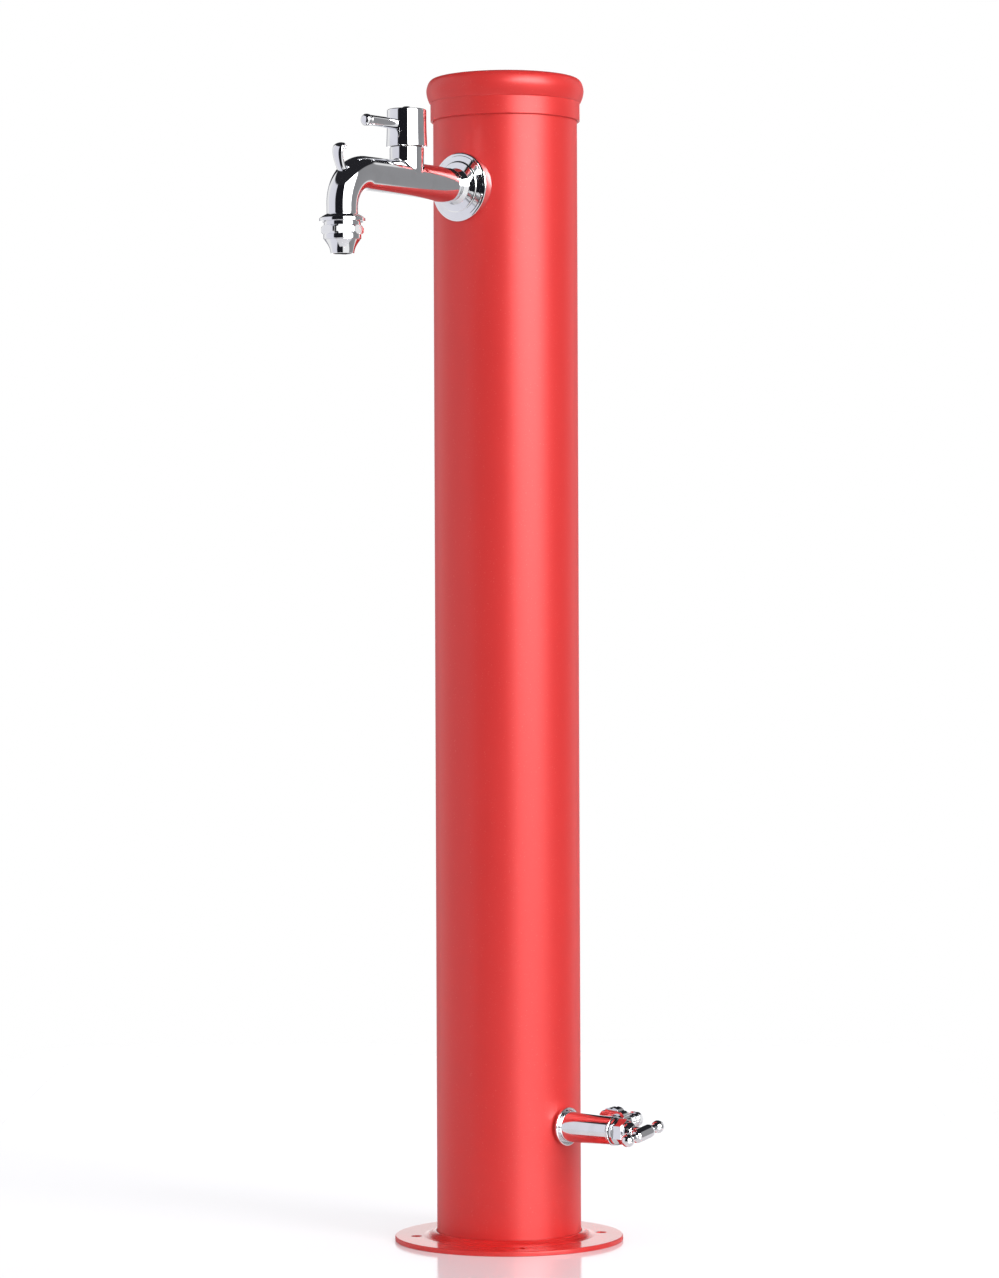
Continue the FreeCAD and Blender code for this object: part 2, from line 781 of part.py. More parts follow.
def outlet_skirt():
    """Flared drip ring and band between the spout's leg and the nozzle."""
    top_z = spout_leg_end_z
    rim_z = top_z - skirt_drop
    leg_r = spout_end_d / 2
    rim_r = skirt_d / 2
    band_r = band_d / 2
    bore_r = thread_r + thread_gap
    top_r = leg_r + skirt_collar
    rim_top_z = rim_z + skirt_rim
    middle_r = (top_r + rim_r) / 2 + skirt_bulge
    middle_z = (top_z + rim_top_z) / 2 + skirt_bulge
    body = Outline(bore_r, top_z).line(top_r, top_z).arc(middle_r, middle_z, rim_r, rim_top_z)
    body.line(rim_r, rim_z).line(rim_r - skirt_lip, rim_z).line(band_r, rim_z + skirt_hollow)
    body.line(band_r, band_low_z).line(bore_r, band_low_z)
    return at_spout(body.turned())


def nozzle():
    """Screwed nozzle: a hexagon nut, a plain ring and a hollow-sided cone down to the mouth."""
    ring_r = nozzle_ring_d / 2
    end_r = nozzle_end_d / 2
    bore_r = nozzle_bore_d / 2
    lip_z = nozzle_end_z + nozzle_lip_height
    body = Outline(0, nozzle_ring_z).line(ring_r, nozzle_ring_z).line(ring_r, nozzle_cone_z + nozzle_ring_edge)
    body.line(ring_r - nozzle_ring_edge, nozzle_cone_z)
    body.arc(nozzle_waist_d / 2, nozzle_end_z + nozzle_waist_rise, end_r + nozzle_lip_flare, lip_z)
    body.line(end_r, nozzle_end_z).line(0, nozzle_end_z)
    nut = hexagon(nozzle_flats, nozzle_ring_z, band_low_z)
    nut.rotate(Vector(0, 0, 0), UP, nozzle_nut_turn_deg)
    solid = nut.fuse(body.turned())
    solid = solid.cut(rod(bore_r, nozzle_end_z - 1, band_low_z + 1))
    solid = solid.cut(rod(strainer_d / 2, nozzle_seat_z - strainer_thick, band_low_z + 1))
    return at_spout(solid.cut(rod(thread_r + thread_gap, nozzle_seat_z, band_low_z + 1)))


def outlet_seal():
    """Rubber ring between the spout's threaded end and the nozzle's seat."""
    return at_spout(tube(thread_r - slip_gap, nozzle_bore_d / 2, nozzle_seat_z, thread_end_z))


def strainer():
    """Plastic flow straightener: a ring with crossed ribs, held in a recess under the nozzle's seal."""
    ring_r = strainer_d / 2 - thread_gap
    low_z = nozzle_seat_z - strainer_thick
    ring = tube(ring_r, ring_r - strainer_rib, low_z, nozzle_seat_z)
    for turn in range(3):
        rib = Part.makeBox(ring_r * 2 - strainer_rib, strainer_rib, strainer_thick)
        rib.translate(Vector(-ring_r + strainer_rib / 2, -strainer_rib / 2, low_z))
        rib.rotate(Vector(0, 0, 0), UP, 60 * turn)
        ring = ring.fuse(rib)
    return at_spout(ring.removeSplitter())


# Lower angle valve, on its own level axis

lower_front = gasket_front + lower_rosette_thick
bonnet_start = barrel_end_reach + bonnet_seal_thick
bonnet_end = bonnet_start + bonnet_length
bonnet_floor_reach = bonnet_end - bonnet_floor
gland_end = bonnet_end + gland_thread_length
gland_nut_start = gland_end + gland_nut_end - gland_nut_length
piston_start = seat_reach + piston_rest_gap + piston_washer_thick
piston_end = piston_start + piston_length
stem_tip = piston_start + piston_end_wall + piston_travel + stem_tip_gap


def lower_rosette():
    """Small cover ring with a groove between its rim and its inner bead."""
    rim_r = lower_rosette_d / 2
    bore_r = thread_r + thread_gap
    front = lower_front
    bead = lower_bead_width
    body = Outline(bore_r, gasket_front).line(rim_r, gasket_front).line(rim_r, front - bead / 2)
    body.arc(rim_r - bead / 2, front, rim_r - bead, front - bead / 2)
    body.line(rim_r - bead, front - lower_rosette_groove).line(bore_r, front - lower_rosette_groove)
    return lower(body.turned())


def lower_valve_body():
    """Chromed valve: shank, tapered barrel, side outlet and the seat and chamber inside."""
    root_r = barrel_root_d / 2
    end_r = barrel_end_d / 2
    ring_start = barrel_end_reach - barrel_ring_length
    ring_r = end_r + barrel_ring_stand
    shoulder = lower_front - lower_rosette_groove
    body = Outline(0, fitting_seat).line(thread_r, fitting_seat).line(thread_r, shoulder)
    body.line(root_r, shoulder).line(end_r, ring_start - barrel_groove).line(end_r - barrel_groove, ring_start)
    body.line(ring_r, ring_start).line(ring_r, barrel_end_reach - barrel_groove)
    body.line(end_r, barrel_end_reach).line(0, barrel_end_reach)
    branch = rod(outlet_neck_d / 2, 0, outlet_thread_start).fuse(rod(thread_r, outlet_thread_start, outlet_end))
    outside = lower(body.turned()).fuse(side_outlet(branch))
    seat_start = seat_reach - seat_web
    inlet = rod(water_bore_r, fitting_seat - 1, seat_start).fuse(rod(seat_hole_d / 2, seat_start - 1, seat_reach + 1))
    chamber = rod(barrel_chamber_d / 2, seat_reach, barrel_end_reach + 1)
    mouth = rod(bonnet_thread_d / 2 + thread_gap, barrel_end_reach - bonnet_thread_length - 1, barrel_end_reach + 1)
    outside = outside.cut(lower(inlet.fuse([chamber, mouth])))
    return outside.cut(side_outlet(rod(outlet_bore_d / 2, 0, outlet_end + 1)))


def bonnet_seal():
    """Rubber ring between the barrel's end and the bonnet's hexagon."""
    outer_r = barrel_end_d / 2 - barrel_groove
    return lower(tube(outer_r, bonnet_thread_d / 2 + slip_gap, barrel_end_reach, bonnet_start))


def bonnet():
    """Hexagon bonnet: threaded skirt in the barrel, guide bore for the piston, gland thread outside."""
    skirt_start = barrel_end_reach - bonnet_thread_length
    body = rod(bonnet_thread_d / 2, skirt_start, bonnet_start)
    body = body.fuse(rod(bonnet_flange_d / 2, bonnet_start, bonnet_start + bonnet_flange_thick))
    nut = hexagon(bonnet_flats, bonnet_start + bonnet_flange_thick, bonnet_end)
    nut.rotate(Vector(0, 0, 0), UP, bonnet_turn_deg)
    body = body.fuse(nut)
    body = body.fuse(rod(gland_thread_d / 2, bonnet_end - 1, gland_end))
    body = body.cut(rod(piston_d / 2 + turn_gap, skirt_start - 1, bonnet_floor_reach))
    body = body.cut(rod(lower_spindle_d / 2 + turn_gap, skirt_start, gland_end + 1))
    body = body.cut(rod(packing_d / 2 + slip_gap, bonnet_end, gland_end + 1))
    return lower(body.removeSplitter())


def gland_packing():
    """Packing ring pressed round the spindle by the gland nut."""
    return lower(tube(packing_d / 2, lower_spindle_d / 2 + turn_gap, bonnet_end, gland_end))


def gland_nut():
    """Turned cap nut on the bonnet's gland thread."""
    nut_r = gland_nut_d / 2
    end = gland_end + gland_nut_end
    start = gland_nut_start
    body = Outline(gland_thread_d / 2 + thread_gap, start).line(nut_r, start).line(nut_r, gland_end - gland_nut_end)
    body.line(gland_nut_nose_d / 2, end).line(lower_spindle_d / 2 + turn_gap, end)
    body.line(lower_spindle_d / 2 + turn_gap, gland_end).line(gland_thread_d / 2 + thread_gap, gland_end)
    return lower(body.turned())


def lower_spindle():
    """Spindle: threaded stem in the piston, thrust collar under the bonnet's floor, shaft to the handle."""
    collar_end = bonnet_floor_reach - turn_gap
    collar_start = collar_end - lower_collar_thick
    body = rod(lower_stem_d / 2, stem_tip, collar_end)
    body = body.fuse(rod(lower_collar_d / 2, collar_start, collar_end))
    body = body.fuse(rod(lower_spindle_d / 2, collar_start, handle_reach))
    return lower(body.removeSplitter())


def piston():
    """Piston that carries the washer and is drawn along by the stem's thread."""
    body = rod(piston_d / 2, piston_start, piston_end)
    bore = rod(lower_stem_d / 2 + turn_gap, piston_start + piston_end_wall, piston_end + 1)
    return lower(body.cut(bore))


def piston_washer():
    """Rubber washer that closes on the seat."""
    return lower(rod(piston_washer_d / 2, piston_start - piston_washer_thick, piston_start))


def t_handle():
    """Cross bar with a thick middle, two thin necks and a ball at each end."""
    half = handle_bar_length / 2
    bar_r = handle_bar_d / 2
    neck_r = handle_neck_d / 2
    ball_r = handle_ball_d / 2
    ball_at = handle_ball_spacing / 2
    entry = math.sqrt(ball_r ** 2 - neck_r ** 2)
    body = Outline(0, -ball_at - ball_r).arc(ball_r, -ball_at, neck_r, entry - ball_at)
    shoulder_r = bar_r - handle_bar_round
    body.line(neck_r, -half).line(shoulder_r, -half)
    body.round_out(bar_r, handle_bar_round - half, bar_r, -half).line(bar_r, half - handle_bar_round)
    body.round_out(shoulder_r, half, bar_r, half).line(neck_r, half)
    body.line(neck_r, ball_at - entry).arc(ball_r, ball_at, 0, ball_at + ball_r)
    bar = laid(body.turned(), tilted(handle_tilt_deg), Vector(handle_reach, 0, lower_z))
    hub = lower(rod(lower_spindle_d / 2 + handle_hub_wall, handle_reach - handle_hub_length, handle_reach))
    return bar.fuse(hub).cut(lower(rod(lower_spindle_d / 2 + press_gap, bonnet_end, handle_reach)))


# Side outlet of the angle valve

tail_seal_end = outlet_end + tail_seal_thick
tail_flange_end = tail_seal_end + tail_flange_thick
union_end = union_start + union_length


def union_nut():
    """Captive nut with finger teeth round its crown and a plain collar in front."""
    crown_end = union_start + union_crown_length
    crown_r = union_d / 2
    collar_r = union_collar_d / 2
    body = Outline(thread_r + turn_gap, union_start).line(crown_r, union_start)
    body.line(crown_r, crown_end - union_edge).line(crown_r - union_edge, crown_end).line(collar_r, crown_end)
    body.line(collar_r, union_end - union_edge).line(collar_r - union_edge, union_end)
    body.line(tail_neck_d / 2 + turn_gap, union_end)
    body.line(tail_neck_d / 2 + turn_gap, tail_flange_end + turn_gap)
    body.line(thread_r + turn_gap, tail_flange_end + turn_gap)
    nut = body.turned()
    groove_r = math.pi * crown_r / union_tooth_count / 2
    for tooth in range(union_tooth_count):
        spot = turned_point(crown_r + groove_r - union_tooth_depth, 360 / union_tooth_count * tooth)
        groove = Part.makeCylinder(groove_r, union_crown_length + 2, spot.add(UP * (union_start - 1)))
        nut = nut.cut(groove)
    return side_outlet(nut)


def tail_seal():
    """Flat rubber ring between the outlet's end and the hose tail's flange."""
    return side_outlet(tube(thread_r - slip_gap, outlet_bore_d / 2, outlet_end, tail_seal_end))


def hose_tail():
    """Hose tail with a flange under the union nut and a row of barbs for the hose."""
    flange_r = tail_flange_d / 2
    neck_r = tail_neck_d / 2
    shaft_r = tail_d / 2
    barb_r = tail_barb_d / 2
    bore_r = tail_bore_d / 2
    barb_start = union_end + tail_lead
    body = Outline(bore_r, tail_seal_end).line(flange_r, tail_seal_end).line(flange_r, tail_flange_end)
    body.line(neck_r, tail_flange_end).line(neck_r, union_end + tail_neck_stand)
    body.line(shaft_r, union_end + 2 * tail_neck_stand)
    for barb in range(tail_barb_count):
        start = barb_start + tail_barb_pitch * barb
        body.line(shaft_r, start).line(barb_r, start).line(barb_r, start + tail_barb_land)
        body.line(shaft_r, start + tail_barb_pitch)
    end = barb_start + tail_barb_pitch * tail_barb_count
    body.line(bore_r, end)
    return side_outlet(body.turned())


save("base_plate", base_plate())
save("column_tube", column_tube())
save("column_cap", column_cap())
save("inlet_nipple", inlet_nipple())
save("supply_tee", supply_tee())
save("riser_pipe", riser_pipe())
save("riser_elbow", riser_elbow())
save("riser_nuts", at_both_branches(riser_nut()))
save("riser_ferrules", at_both_branches(ferrule()))
save("upper_wall_gasket", upper(wall_gasket(upper_gasket_d)))
save("upper_wall_washer", upper(wall_washer(upper_washer_d)))
save("upper_lock_nut", upper(lock_nut()))
save("upper_rosette", upper(upper_rosette()))
save("upper_tap_body", upper_tap_body())
save("cartridge_seal", cartridge_seal())
save("cartridge_housing", cartridge_housing())
save("cartridge_fixed_disc", ceramic_disc(seal_top_z))
save("cartridge_turning_disc", ceramic_disc(turning_disc_z))
save("cartridge_spindle", cartridge_spindle())
save("handle_cap", handle_cap())
save("lever_rod", lever_rod())
save("handle_button", handle_button())
save("outlet_skirt", outlet_skirt())
save("outlet_seal", outlet_seal())
save("outlet_strainer", strainer())
save("outlet_nozzle", nozzle())
save("lower_wall_gasket", lower(wall_gasket(lower_gasket_d)))
save("lower_wall_washer", lower(wall_washer(lower_washer_d)))
save("lower_lock_nut", lower(lock_nut()))
save("lower_rosette", lower_rosette())
save("lower_valve_body", lower_valve_body())
save("lower_bonnet_seal", bonnet_seal())
save("lower_bonnet", bonnet())
save("lower_gland_packing", gland_packing())
save("lower_gland_nut", gland_nut())
save("lower_spindle", lower_spindle())
save("lower_piston", piston())
save("lower_piston_washer", piston_washer())
save("lower_handle", t_handle())
save("union_nut", union_nut())
save("tail_seal", tail_seal())
save("hose_tail", hose_tail())
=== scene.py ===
import bpy
import bmesh
import json
import math
import numpy as np
from mathutils import Matrix, Vector

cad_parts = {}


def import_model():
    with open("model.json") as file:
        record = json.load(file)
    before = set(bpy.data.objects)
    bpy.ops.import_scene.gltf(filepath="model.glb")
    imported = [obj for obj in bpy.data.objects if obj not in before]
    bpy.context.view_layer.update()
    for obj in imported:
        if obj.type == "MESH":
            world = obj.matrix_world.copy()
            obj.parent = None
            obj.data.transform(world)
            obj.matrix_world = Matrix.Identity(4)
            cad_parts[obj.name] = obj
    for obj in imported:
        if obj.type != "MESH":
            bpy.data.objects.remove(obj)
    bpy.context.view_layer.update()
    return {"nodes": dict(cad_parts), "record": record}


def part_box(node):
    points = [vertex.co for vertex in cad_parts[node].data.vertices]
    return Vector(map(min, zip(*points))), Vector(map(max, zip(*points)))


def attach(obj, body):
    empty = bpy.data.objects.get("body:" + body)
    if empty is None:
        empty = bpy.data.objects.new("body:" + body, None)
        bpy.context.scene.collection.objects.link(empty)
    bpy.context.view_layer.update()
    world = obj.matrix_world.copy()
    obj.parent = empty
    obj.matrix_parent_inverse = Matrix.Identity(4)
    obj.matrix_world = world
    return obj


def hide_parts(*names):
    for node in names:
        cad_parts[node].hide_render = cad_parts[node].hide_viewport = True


# Garden tap column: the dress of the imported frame. Metres, +Z up, lever tap to -Y, angle valve to +X.

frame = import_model()

MM = 0.001
FRONT = (0.0, -1.0, 0.0)
SIDE = (1.0, 0.0, 0.0)
UP = (0.0, 0.0, 1.0)


# Shader maths

class Value:
    """A socket in a material's node tree; arithmetic on it adds Math nodes."""

    def __init__(self, tree, socket):
        self.tree = tree
        self.socket = socket

    def math(self, operation, other=None):
        values = {0: self}
        if other is not None:
            values[1] = other
        return self.tree.node("ShaderNodeMath", {"operation": operation}, values)

    def __add__(self, other):
        return self.math("ADD", other)

    __radd__ = __add__

    def __mul__(self, other):
        return self.math("MULTIPLY", other)

    def __sub__(self, other):
        return self.math("SUBTRACT", other)

    def __rsub__(self, other):
        return (self * -1.0) + other

    def clamped(self, low, high):
        """The value stretched so that low becomes 0 and high becomes 1, and clipped to that range."""
        return self.tree.node("ShaderNodeMapRange", {"interpolation_type": "SMOOTHSTEP"},
                              {"Value": self, "From Min": low, "From Max": high})


class Tree:
    """A node tree that is written as expressions."""

    def __init__(self, tree):
        self.tree = tree
        tree.nodes.clear()

    def node(self, kind, settings=None, values=None, output=0):
        """A new node with its settings and inputs, each input a plain value or another node's output."""
        made = self.tree.nodes.new(kind)
        for name, setting in (settings or {}).items():
            if name == "stops":
                ramp = made.color_ramp
                for spot, (place, colour) in enumerate(setting):
                    stop = ramp.elements[spot] if spot < 2 else ramp.elements.new(place)
                    stop.position = place
                    stop.color = (*colour, 1.0)
            else:
                setattr(made, name, setting)
        for name, value in (values or {}).items():
            if isinstance(value, Value):
                self.tree.links.new(value.socket, made.inputs[name])
            else:
                made.inputs[name].default_value = value
        return Value(self, made.outputs[output])

    def place(self):
        return self.node("ShaderNodeTexCoord", output="Object")

    def noise(self, scale, detail, roughness=0.5, stretch=None):
        vector = self.place()
        if stretch:
            vector = self.node("ShaderNodeMapping", values={"Vector": vector, "Scale": stretch})
        return self.node("ShaderNodeTexNoise", values={
            "Vector": vector, "Scale": scale, "Detail": detail, "Roughness": roughness})

    def colours(self, factor, low, high):
        """A mix of two colours, each an (r, g, b) triple or the value of another node."""
        low, high = (side if isinstance(side, Value) else (*side, 1.0) for side in (low, high))
        return self.node("ShaderNodeMix", {"data_type": "RGBA"}, {0: factor, 6: low, 7: high}, output=2)

    def part(self, vector, axis):
        return self.node("ShaderNodeSeparateXYZ", values={0: vector}, output=axis)

    def along(self, vector, direction):
        """How far a vector reaches along a fixed direction."""
        return self.node("ShaderNodeVectorMath", {"operation": "DOT_PRODUCT"},
                         {0: vector, 1: direction}, "Value")

    def bump(self, height, distance, strength):
        return self.node("ShaderNodeBump", values={
            "Height": height, "Distance": distance, "Strength": strength})

    def surface(self, values):
        shader = self.node("ShaderNodeBsdfPrincipled", values=values)
        self.node_output("ShaderNodeOutputMaterial", shader)

    def node_output(self, kind, shader):
        out = self.tree.nodes.new(kind)
        self.tree.links.new(shader.socket, out.inputs["Surface"])


def material(name):
    """A new material with its own node tree to write on."""
    made = bpy.data.materials.new(name)
    made.use_nodes = True
    return made, Tree(made.node_tree)


def red_paint():
    """Satin powder coat: fine leather grain, faint patches of sheen, a few dust specks.

    On level faces the coat has flowed out smoother before it set, so they are glossier."""
    made, tree = material("red_paint")
    patches = tree.noise(9.0, 4.0)
    grain = tree.noise(1400.0, 2.0)
    orange_peel = tree.noise(420.0, 2.0)
    specks = tree.noise(900.0, 0.0).clamped(0.76, 0.80)
    colour = tree.colours(patches, (0.630, 0.0210, 0.0190), (0.680, 0.0250, 0.0220))
    level = tree.part(tree.node("ShaderNodeTexCoord", output="Normal"), "Z").clamped(0.80, 0.96)
    height = (orange_peel * 0.6 + grain * 0.4) * (1.0 - level * 0.95)
    tree.surface({
        "Base Color": tree.colours(specks * 0.25, colour, (0.80, 0.16, 0.13)),
        "Roughness": 0.36 + patches * 0.05 + grain * 0.04 - level * 0.20,
        "Coat Weight": level * 0.45,
        "Coat Roughness": 0.10,
        "Specular IOR Level": 0.6,
        "Normal": tree.bump(height, 0.00006, 0.55),
    })
    return made


def chrome():
    """Bright plating on turned brass: a mirror with hairline wiping marks and faint water haze."""
    made, tree = material("chrome")
    haze = tree.noise(60.0, 4.0).clamped(0.45, 0.75)
    hairlines = tree.noise(300.0, 3.0, 0.6, (1.0, 9.0, 9.0))
    waves = tree.noise(45.0, 1.0)
    tree.surface({
        "Base Color": tree.colours(haze, (0.82, 0.825, 0.84), (0.76, 0.765, 0.775)),
        "Metallic": 1.0,
        "Roughness": 0.035 + haze * 0.03 + hairlines * 0.03,
        "Normal": tree.bump(waves, 0.00012, 0.25),
    })
    return made


def brass():
    """Turned brass with ring marks from the lathe and darker tarnish in patches."""
    made, tree = material("brass")
    tarnish = tree.noise(70.0, 5.0).clamped(0.35, 0.75)
    marks = tree.noise(900.0, 2.0)
    tree.surface({
        "Base Color": tree.colours(tarnish, (0.74, 0.53, 0.25), (0.52, 0.35, 0.15)),
        "Metallic": 1.0,
        "Roughness": 0.28 + tarnish * 0.18,
        "Normal": tree.bump(marks, 0.00005, 0.5),
    })
    return made


def zinc_steel():
    """Zinc-plated steel with small cloudy spangles."""
    made, tree = material("steel")
    clouds = tree.noise(220.0, 3.0)
    tree.surface({
        "Base Color": tree.colours(clouds, (0.50, 0.51, 0.53), (0.66, 0.66, 0.66)),
        "Metallic": 1.0,
        "Roughness": 0.32 + clouds * 0.15,
        "Normal": tree.bump(clouds, 0.00005, 0.4),
    })
    return made


def moulded(name, dark, light, roughness, grain_scale):
    """Moulded rubber or plastic: two close tones in soft patches and a fine surface grain."""
    made, tree = material(name)
    patches = tree.noise(55.0, 3.0)
    grain = tree.noise(grain_scale, 2.0)
    tree.surface({
        "Base Color": tree.colours(patches, dark, light),
        "Roughness": roughness + patches * 0.08,
        "Normal": tree.bump(grain, 0.00005, 0.5),
    })
    return made


MATERIALS = {
    "red_paint": red_paint(),
    "chrome": chrome(),
    "brass": brass(),
    "steel": zinc_steel(),
    "rubber": moulded("rubber", (0.020, 0.020, 0.021), (0.034, 0.034, 0.036), 0.55, 1600.0),
    "pale_seal": moulded("pale_seal", (0.36, 0.36, 0.37), (0.46, 0.46, 0.47), 0.42, 1200.0),
    "riser_plastic": moulded("riser_plastic", (0.70, 0.70, 0.68), (0.80, 0.80, 0.77), 0.38, 900.0),
    "ceramic": moulded("ceramic", (0.72, 0.70, 0.66), (0.80, 0.79, 0.75), 0.22, 2200.0),
    "strainer_plastic": moulded("strainer_plastic", (0.52, 0.52, 0.53), (0.62, 0.62, 0.63), 0.4, 1400.0),
}

slot_of = {part["node"]: part["material_slot"] for part in frame["record"]["subparts"]}
body_of = {node: name for name, nodes in frame["record"]["behaviour"]["bodies"].items() for node in nodes}
for node, thing in frame["nodes"].items():
    thing.data.materials.clear()
    thing.data.materials.append(MATERIALS[slot_of[node]])

# Sizes in millimetres

COLUMN_D = 120.0
COLUMN_WALL = 2.0
WALL_HOLE_D = 21.96
PLATE_D = 190.0
PLATE_THICK = 4.0
PIPE_HOLE_D = 64.0
WELD_D = 140.0
WELD_HEIGHT = 4.0
BOLT_CIRCLE_D = 155.0
BOLT_HOLE_D = 9.0
CAP_SKIRT_D = 124.4
CAP_SKIRT_HEIGHT = 15.5
THREAD_D = 20.96
ROSETTE_FRONT = 66.7
ROSETTE_THICK = 5.9
ROSETTE_SKIRT_WALL = 2.0
ROSETTE_OUTER_STEP_D = 51.5
ROSETTE_INNER_STEP_D = 42.0
ROSETTE_BACK_R = 60.3
NECK_D = 30.0
NECK_WAIST_D = 25.0
NECK_GROOVE_D = 24.0
NECK_END = 70.4
CONE_END = 78.4
SPOUT_ROOT_D = 28.8
SPOUT_END_D = 25.2
SPOUT_BORE_D = 15.2
SPOUT_BORE_DEPTH = 8.0
SPOUT_RISE = 1.2
BEND_R = 26.5
BEND_START = 181.5
BEND_STAND = 1.4
BOSS_D = 27.8
BOSS_BORE_D = 18.6
BOSS_TOP_Z = 899.1
FILLET = 3.0
# the hook's ovals by their place ahead of the outlet's axis and above the spout's, half width, half thickness
HOOK_OVALS = [
    (-7.0, -6.5, 4.9, 3.6), (-1.5, 0.5, 4.6, 3.0), (2.0, 5.5, 4.4, 2.7), (4.6, 11.5, 4.8, 2.4),
    (5.3, 16.5, 5.3, 2.3), (4.3, 20.2, 5.4, 2.2), (1.8, 21.6, 5.2, 2.1), (-0.3, 20.4, 4.6, 1.8),
    (-0.9, 18.6, 3.2, 1.2),
]
HEAD_TOP_D = 32.0
HEAD_BORE_D = 25.2
HEAD_HOLLOW = 10.5
LEVER_D = 8.8
LEVER_TIP_D = 9.8
LEVER_Z = 917.0
BUTTON_D = 8.4
BUTTON_SHANK_D = 4.0
BAND_D = 29.6
SKIRT_DROP = 6.2
OUTLET_THREAD = 17.4
NOZZLE_FLATS = 30.0
NOZZLE_NUT_TURN = math.radians(-16.5)
NOZZLE_NUT_HEIGHT = 7.0
NOZZLE_RING_D = 30.4
NOZZLE_RING_HEIGHT = 4.2
NOZZLE_LIP_D = 19.0
NOZZLE_BORE_D = 15.0
ROSETTE_BEAD_R = 0.9
BARREL_ROOT_D = 25.0
BARREL_END_D = 22.7
BARREL_GROOVE_D = 22.0
BARREL_RIM_D = 24.0
BARREL_BORE_D = 19.6
OUTLET_REACH = 98.0
OUTLET_START = 4.0
OUTLET_END = 20.0
OUTLET_NECK_D = 19.0
OUTLET_BORE_D = 11.0
TAIL_START = 21.5
TAIL_END = 48.0
TAIL_BORE_D = 9.0
TAIL_FLANGE_D = 20.4
TAIL_NECK_D = 16.2
TAIL_ROOT_D = 12.0
BARB_D = 14.2
BARB_START = 30.0
BARB_PITCH = 6.0
BARBS = 3
HANDLE_REACH = 139.0
HANDLE_BALL_D = 10.6
HANDLE_BALL_OFF = 20.75
HANDLE_NECK_D = 6.2
HANDLE_GRIP_D = 11.2
HANDLE_HUB_D = 10.4
GLAND_D = 16.6
GLAND_NOSE_D = 11.2
GLAND_BORE_D = 8.2
GLAND_THREAD_D = 13.8


def tilted(degrees):
    """The level direction +Y, lifted by an angle."""
    return (0.0, math.cos(math.radians(degrees)), math.sin(math.radians(degrees)))


OUTLET = tilted(5.5)
HANDLE_BAR = tilted(10.0)

# Shapes: every grid is worked out with numpy in millimetres and put in place as whole arrays

ROUND = 160
FINE_ROUND = 256
FLAT_ANGLE = 32.0
WELD_GAP = 0.001 * MM

# The taps' axes, as the frame's own nodes give them
tap_low, tap_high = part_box("upper_rosette")
UPPER_Z = (tap_low[2] + tap_high[2]) / 2 / MM
valve_low, valve_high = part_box("lower_rosette")
LOWER_Z = (valve_low[2] + valve_high[2]) / 2 / MM
cap_low, cap_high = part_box("handle_cap")
VALVE_REACH = -(cap_low[1] + cap_high[1]) / 2 / MM
skirt_low, skirt_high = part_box("outlet_skirt")
SPOUT_REACH = -(skirt_low[1] + skirt_high[1]) / 2 / MM


def edge(node, axis, high):
    """One side of a node's box, in millimetres."""
    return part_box(node)[1 if high else 0][axis] / MM


def rounded(corners, steps=5):
    """Profile through (radius, height, rounding) corners, each rounding a curve that touches both its sides.

    The curve between the points A and B on the two sides of corner C is (1-t)(1-t)A + 2t(1-t)C + ttB."""
    spots = np.array([corner[:2] for corner in corners], float)
    ease = np.linspace(0, 1, steps)[:, None]
    out = []
    for index, corner in enumerate(corners):
        size = corner[2] if len(corner) > 2 else 0
        if not size:
            out.append(spots[index][None, :])
            continue
        before = spots[index - 1] - spots[index]
        after = spots[(index + 1) % len(spots)] - spots[index]
        start = spots[index] + before / np.linalg.norm(before) * min(size, np.linalg.norm(before) * 0.49)
        end = spots[index] + after / np.linalg.norm(after) * min(size, np.linalg.norm(after) * 0.49)
        out.append((1 - ease) ** 2 * start + 2 * ease * (1 - ease) * spots[index] + ease ** 2 * end)
    return np.concatenate(out)


def bow(start, end, sag_radius, sag_height, steps=12):
    """Points of the curve (1-t)(1-t)A + 2t(1-t)C + ttB, its middle off the chord's middle by the sag."""
    ease = np.linspace(0, 1, steps)[:, None]
    start = np.array(start, float)
    end = np.array(end, float)
    control = (start + end) / 2 + 2 * np.array([sag_radius, sag_height])
    return (1 - ease) ** 2 * start + 2 * ease * (1 - ease) * control + ease ** 2 * end


def grid_faces(rows, columns):
    """Quads between neighbours of a rows x columns grid that wraps both ways."""
    row = np.arange(rows)[:, None]
    column = np.arange(columns)[None, :]
    next_row = (row + 1) % rows
    next_column = (column + 1) % columns
    quads = np.stack([row * columns + column, row * columns + next_column,
                      next_row * columns + next_column, next_row * columns + column], axis=-1)
    return quads.reshape(-1, 4)


def placed(points, direction=UP, origin=(0, 0, 0)):
    """Points with their own +Z turned to a direction, from the origin given in millimetres."""
    turn = np.array(Vector(UP).rotation_difference(Vector(direction)).to_matrix())
    return (points @ turn.T + np.array(origin, float)) * MM


def on_upper(points):
    """Points about the lever tap's axis, heights measured outwards from the column's middle."""
    return placed(points, FRONT, (0, 0, UPPER_Z))


def on_lower(points):
    """Points about the angle valve's axis, heights measured outwards from the column's middle."""
    return placed(points, SIDE, (0, 0, LOWER_Z))


def at_valve(points):
    """Points about the upright axis of the lever tap's valve."""
    return placed(points, UP, (0, -VALVE_REACH, 0))


def at_spout(points):
    """Points about the upright axis of the spout's outlet."""
    return placed(points, UP, (0, -SPOUT_REACH, 0))


def on_outlet(points):
    """Points about the axis of the angle valve's side outlet."""
    return placed(points, OUTLET, (OUTLET_REACH, 0, LOWER_Z))


def as_metres(points):
    """Points that are in place already, only in millimetres."""
    return points * MM


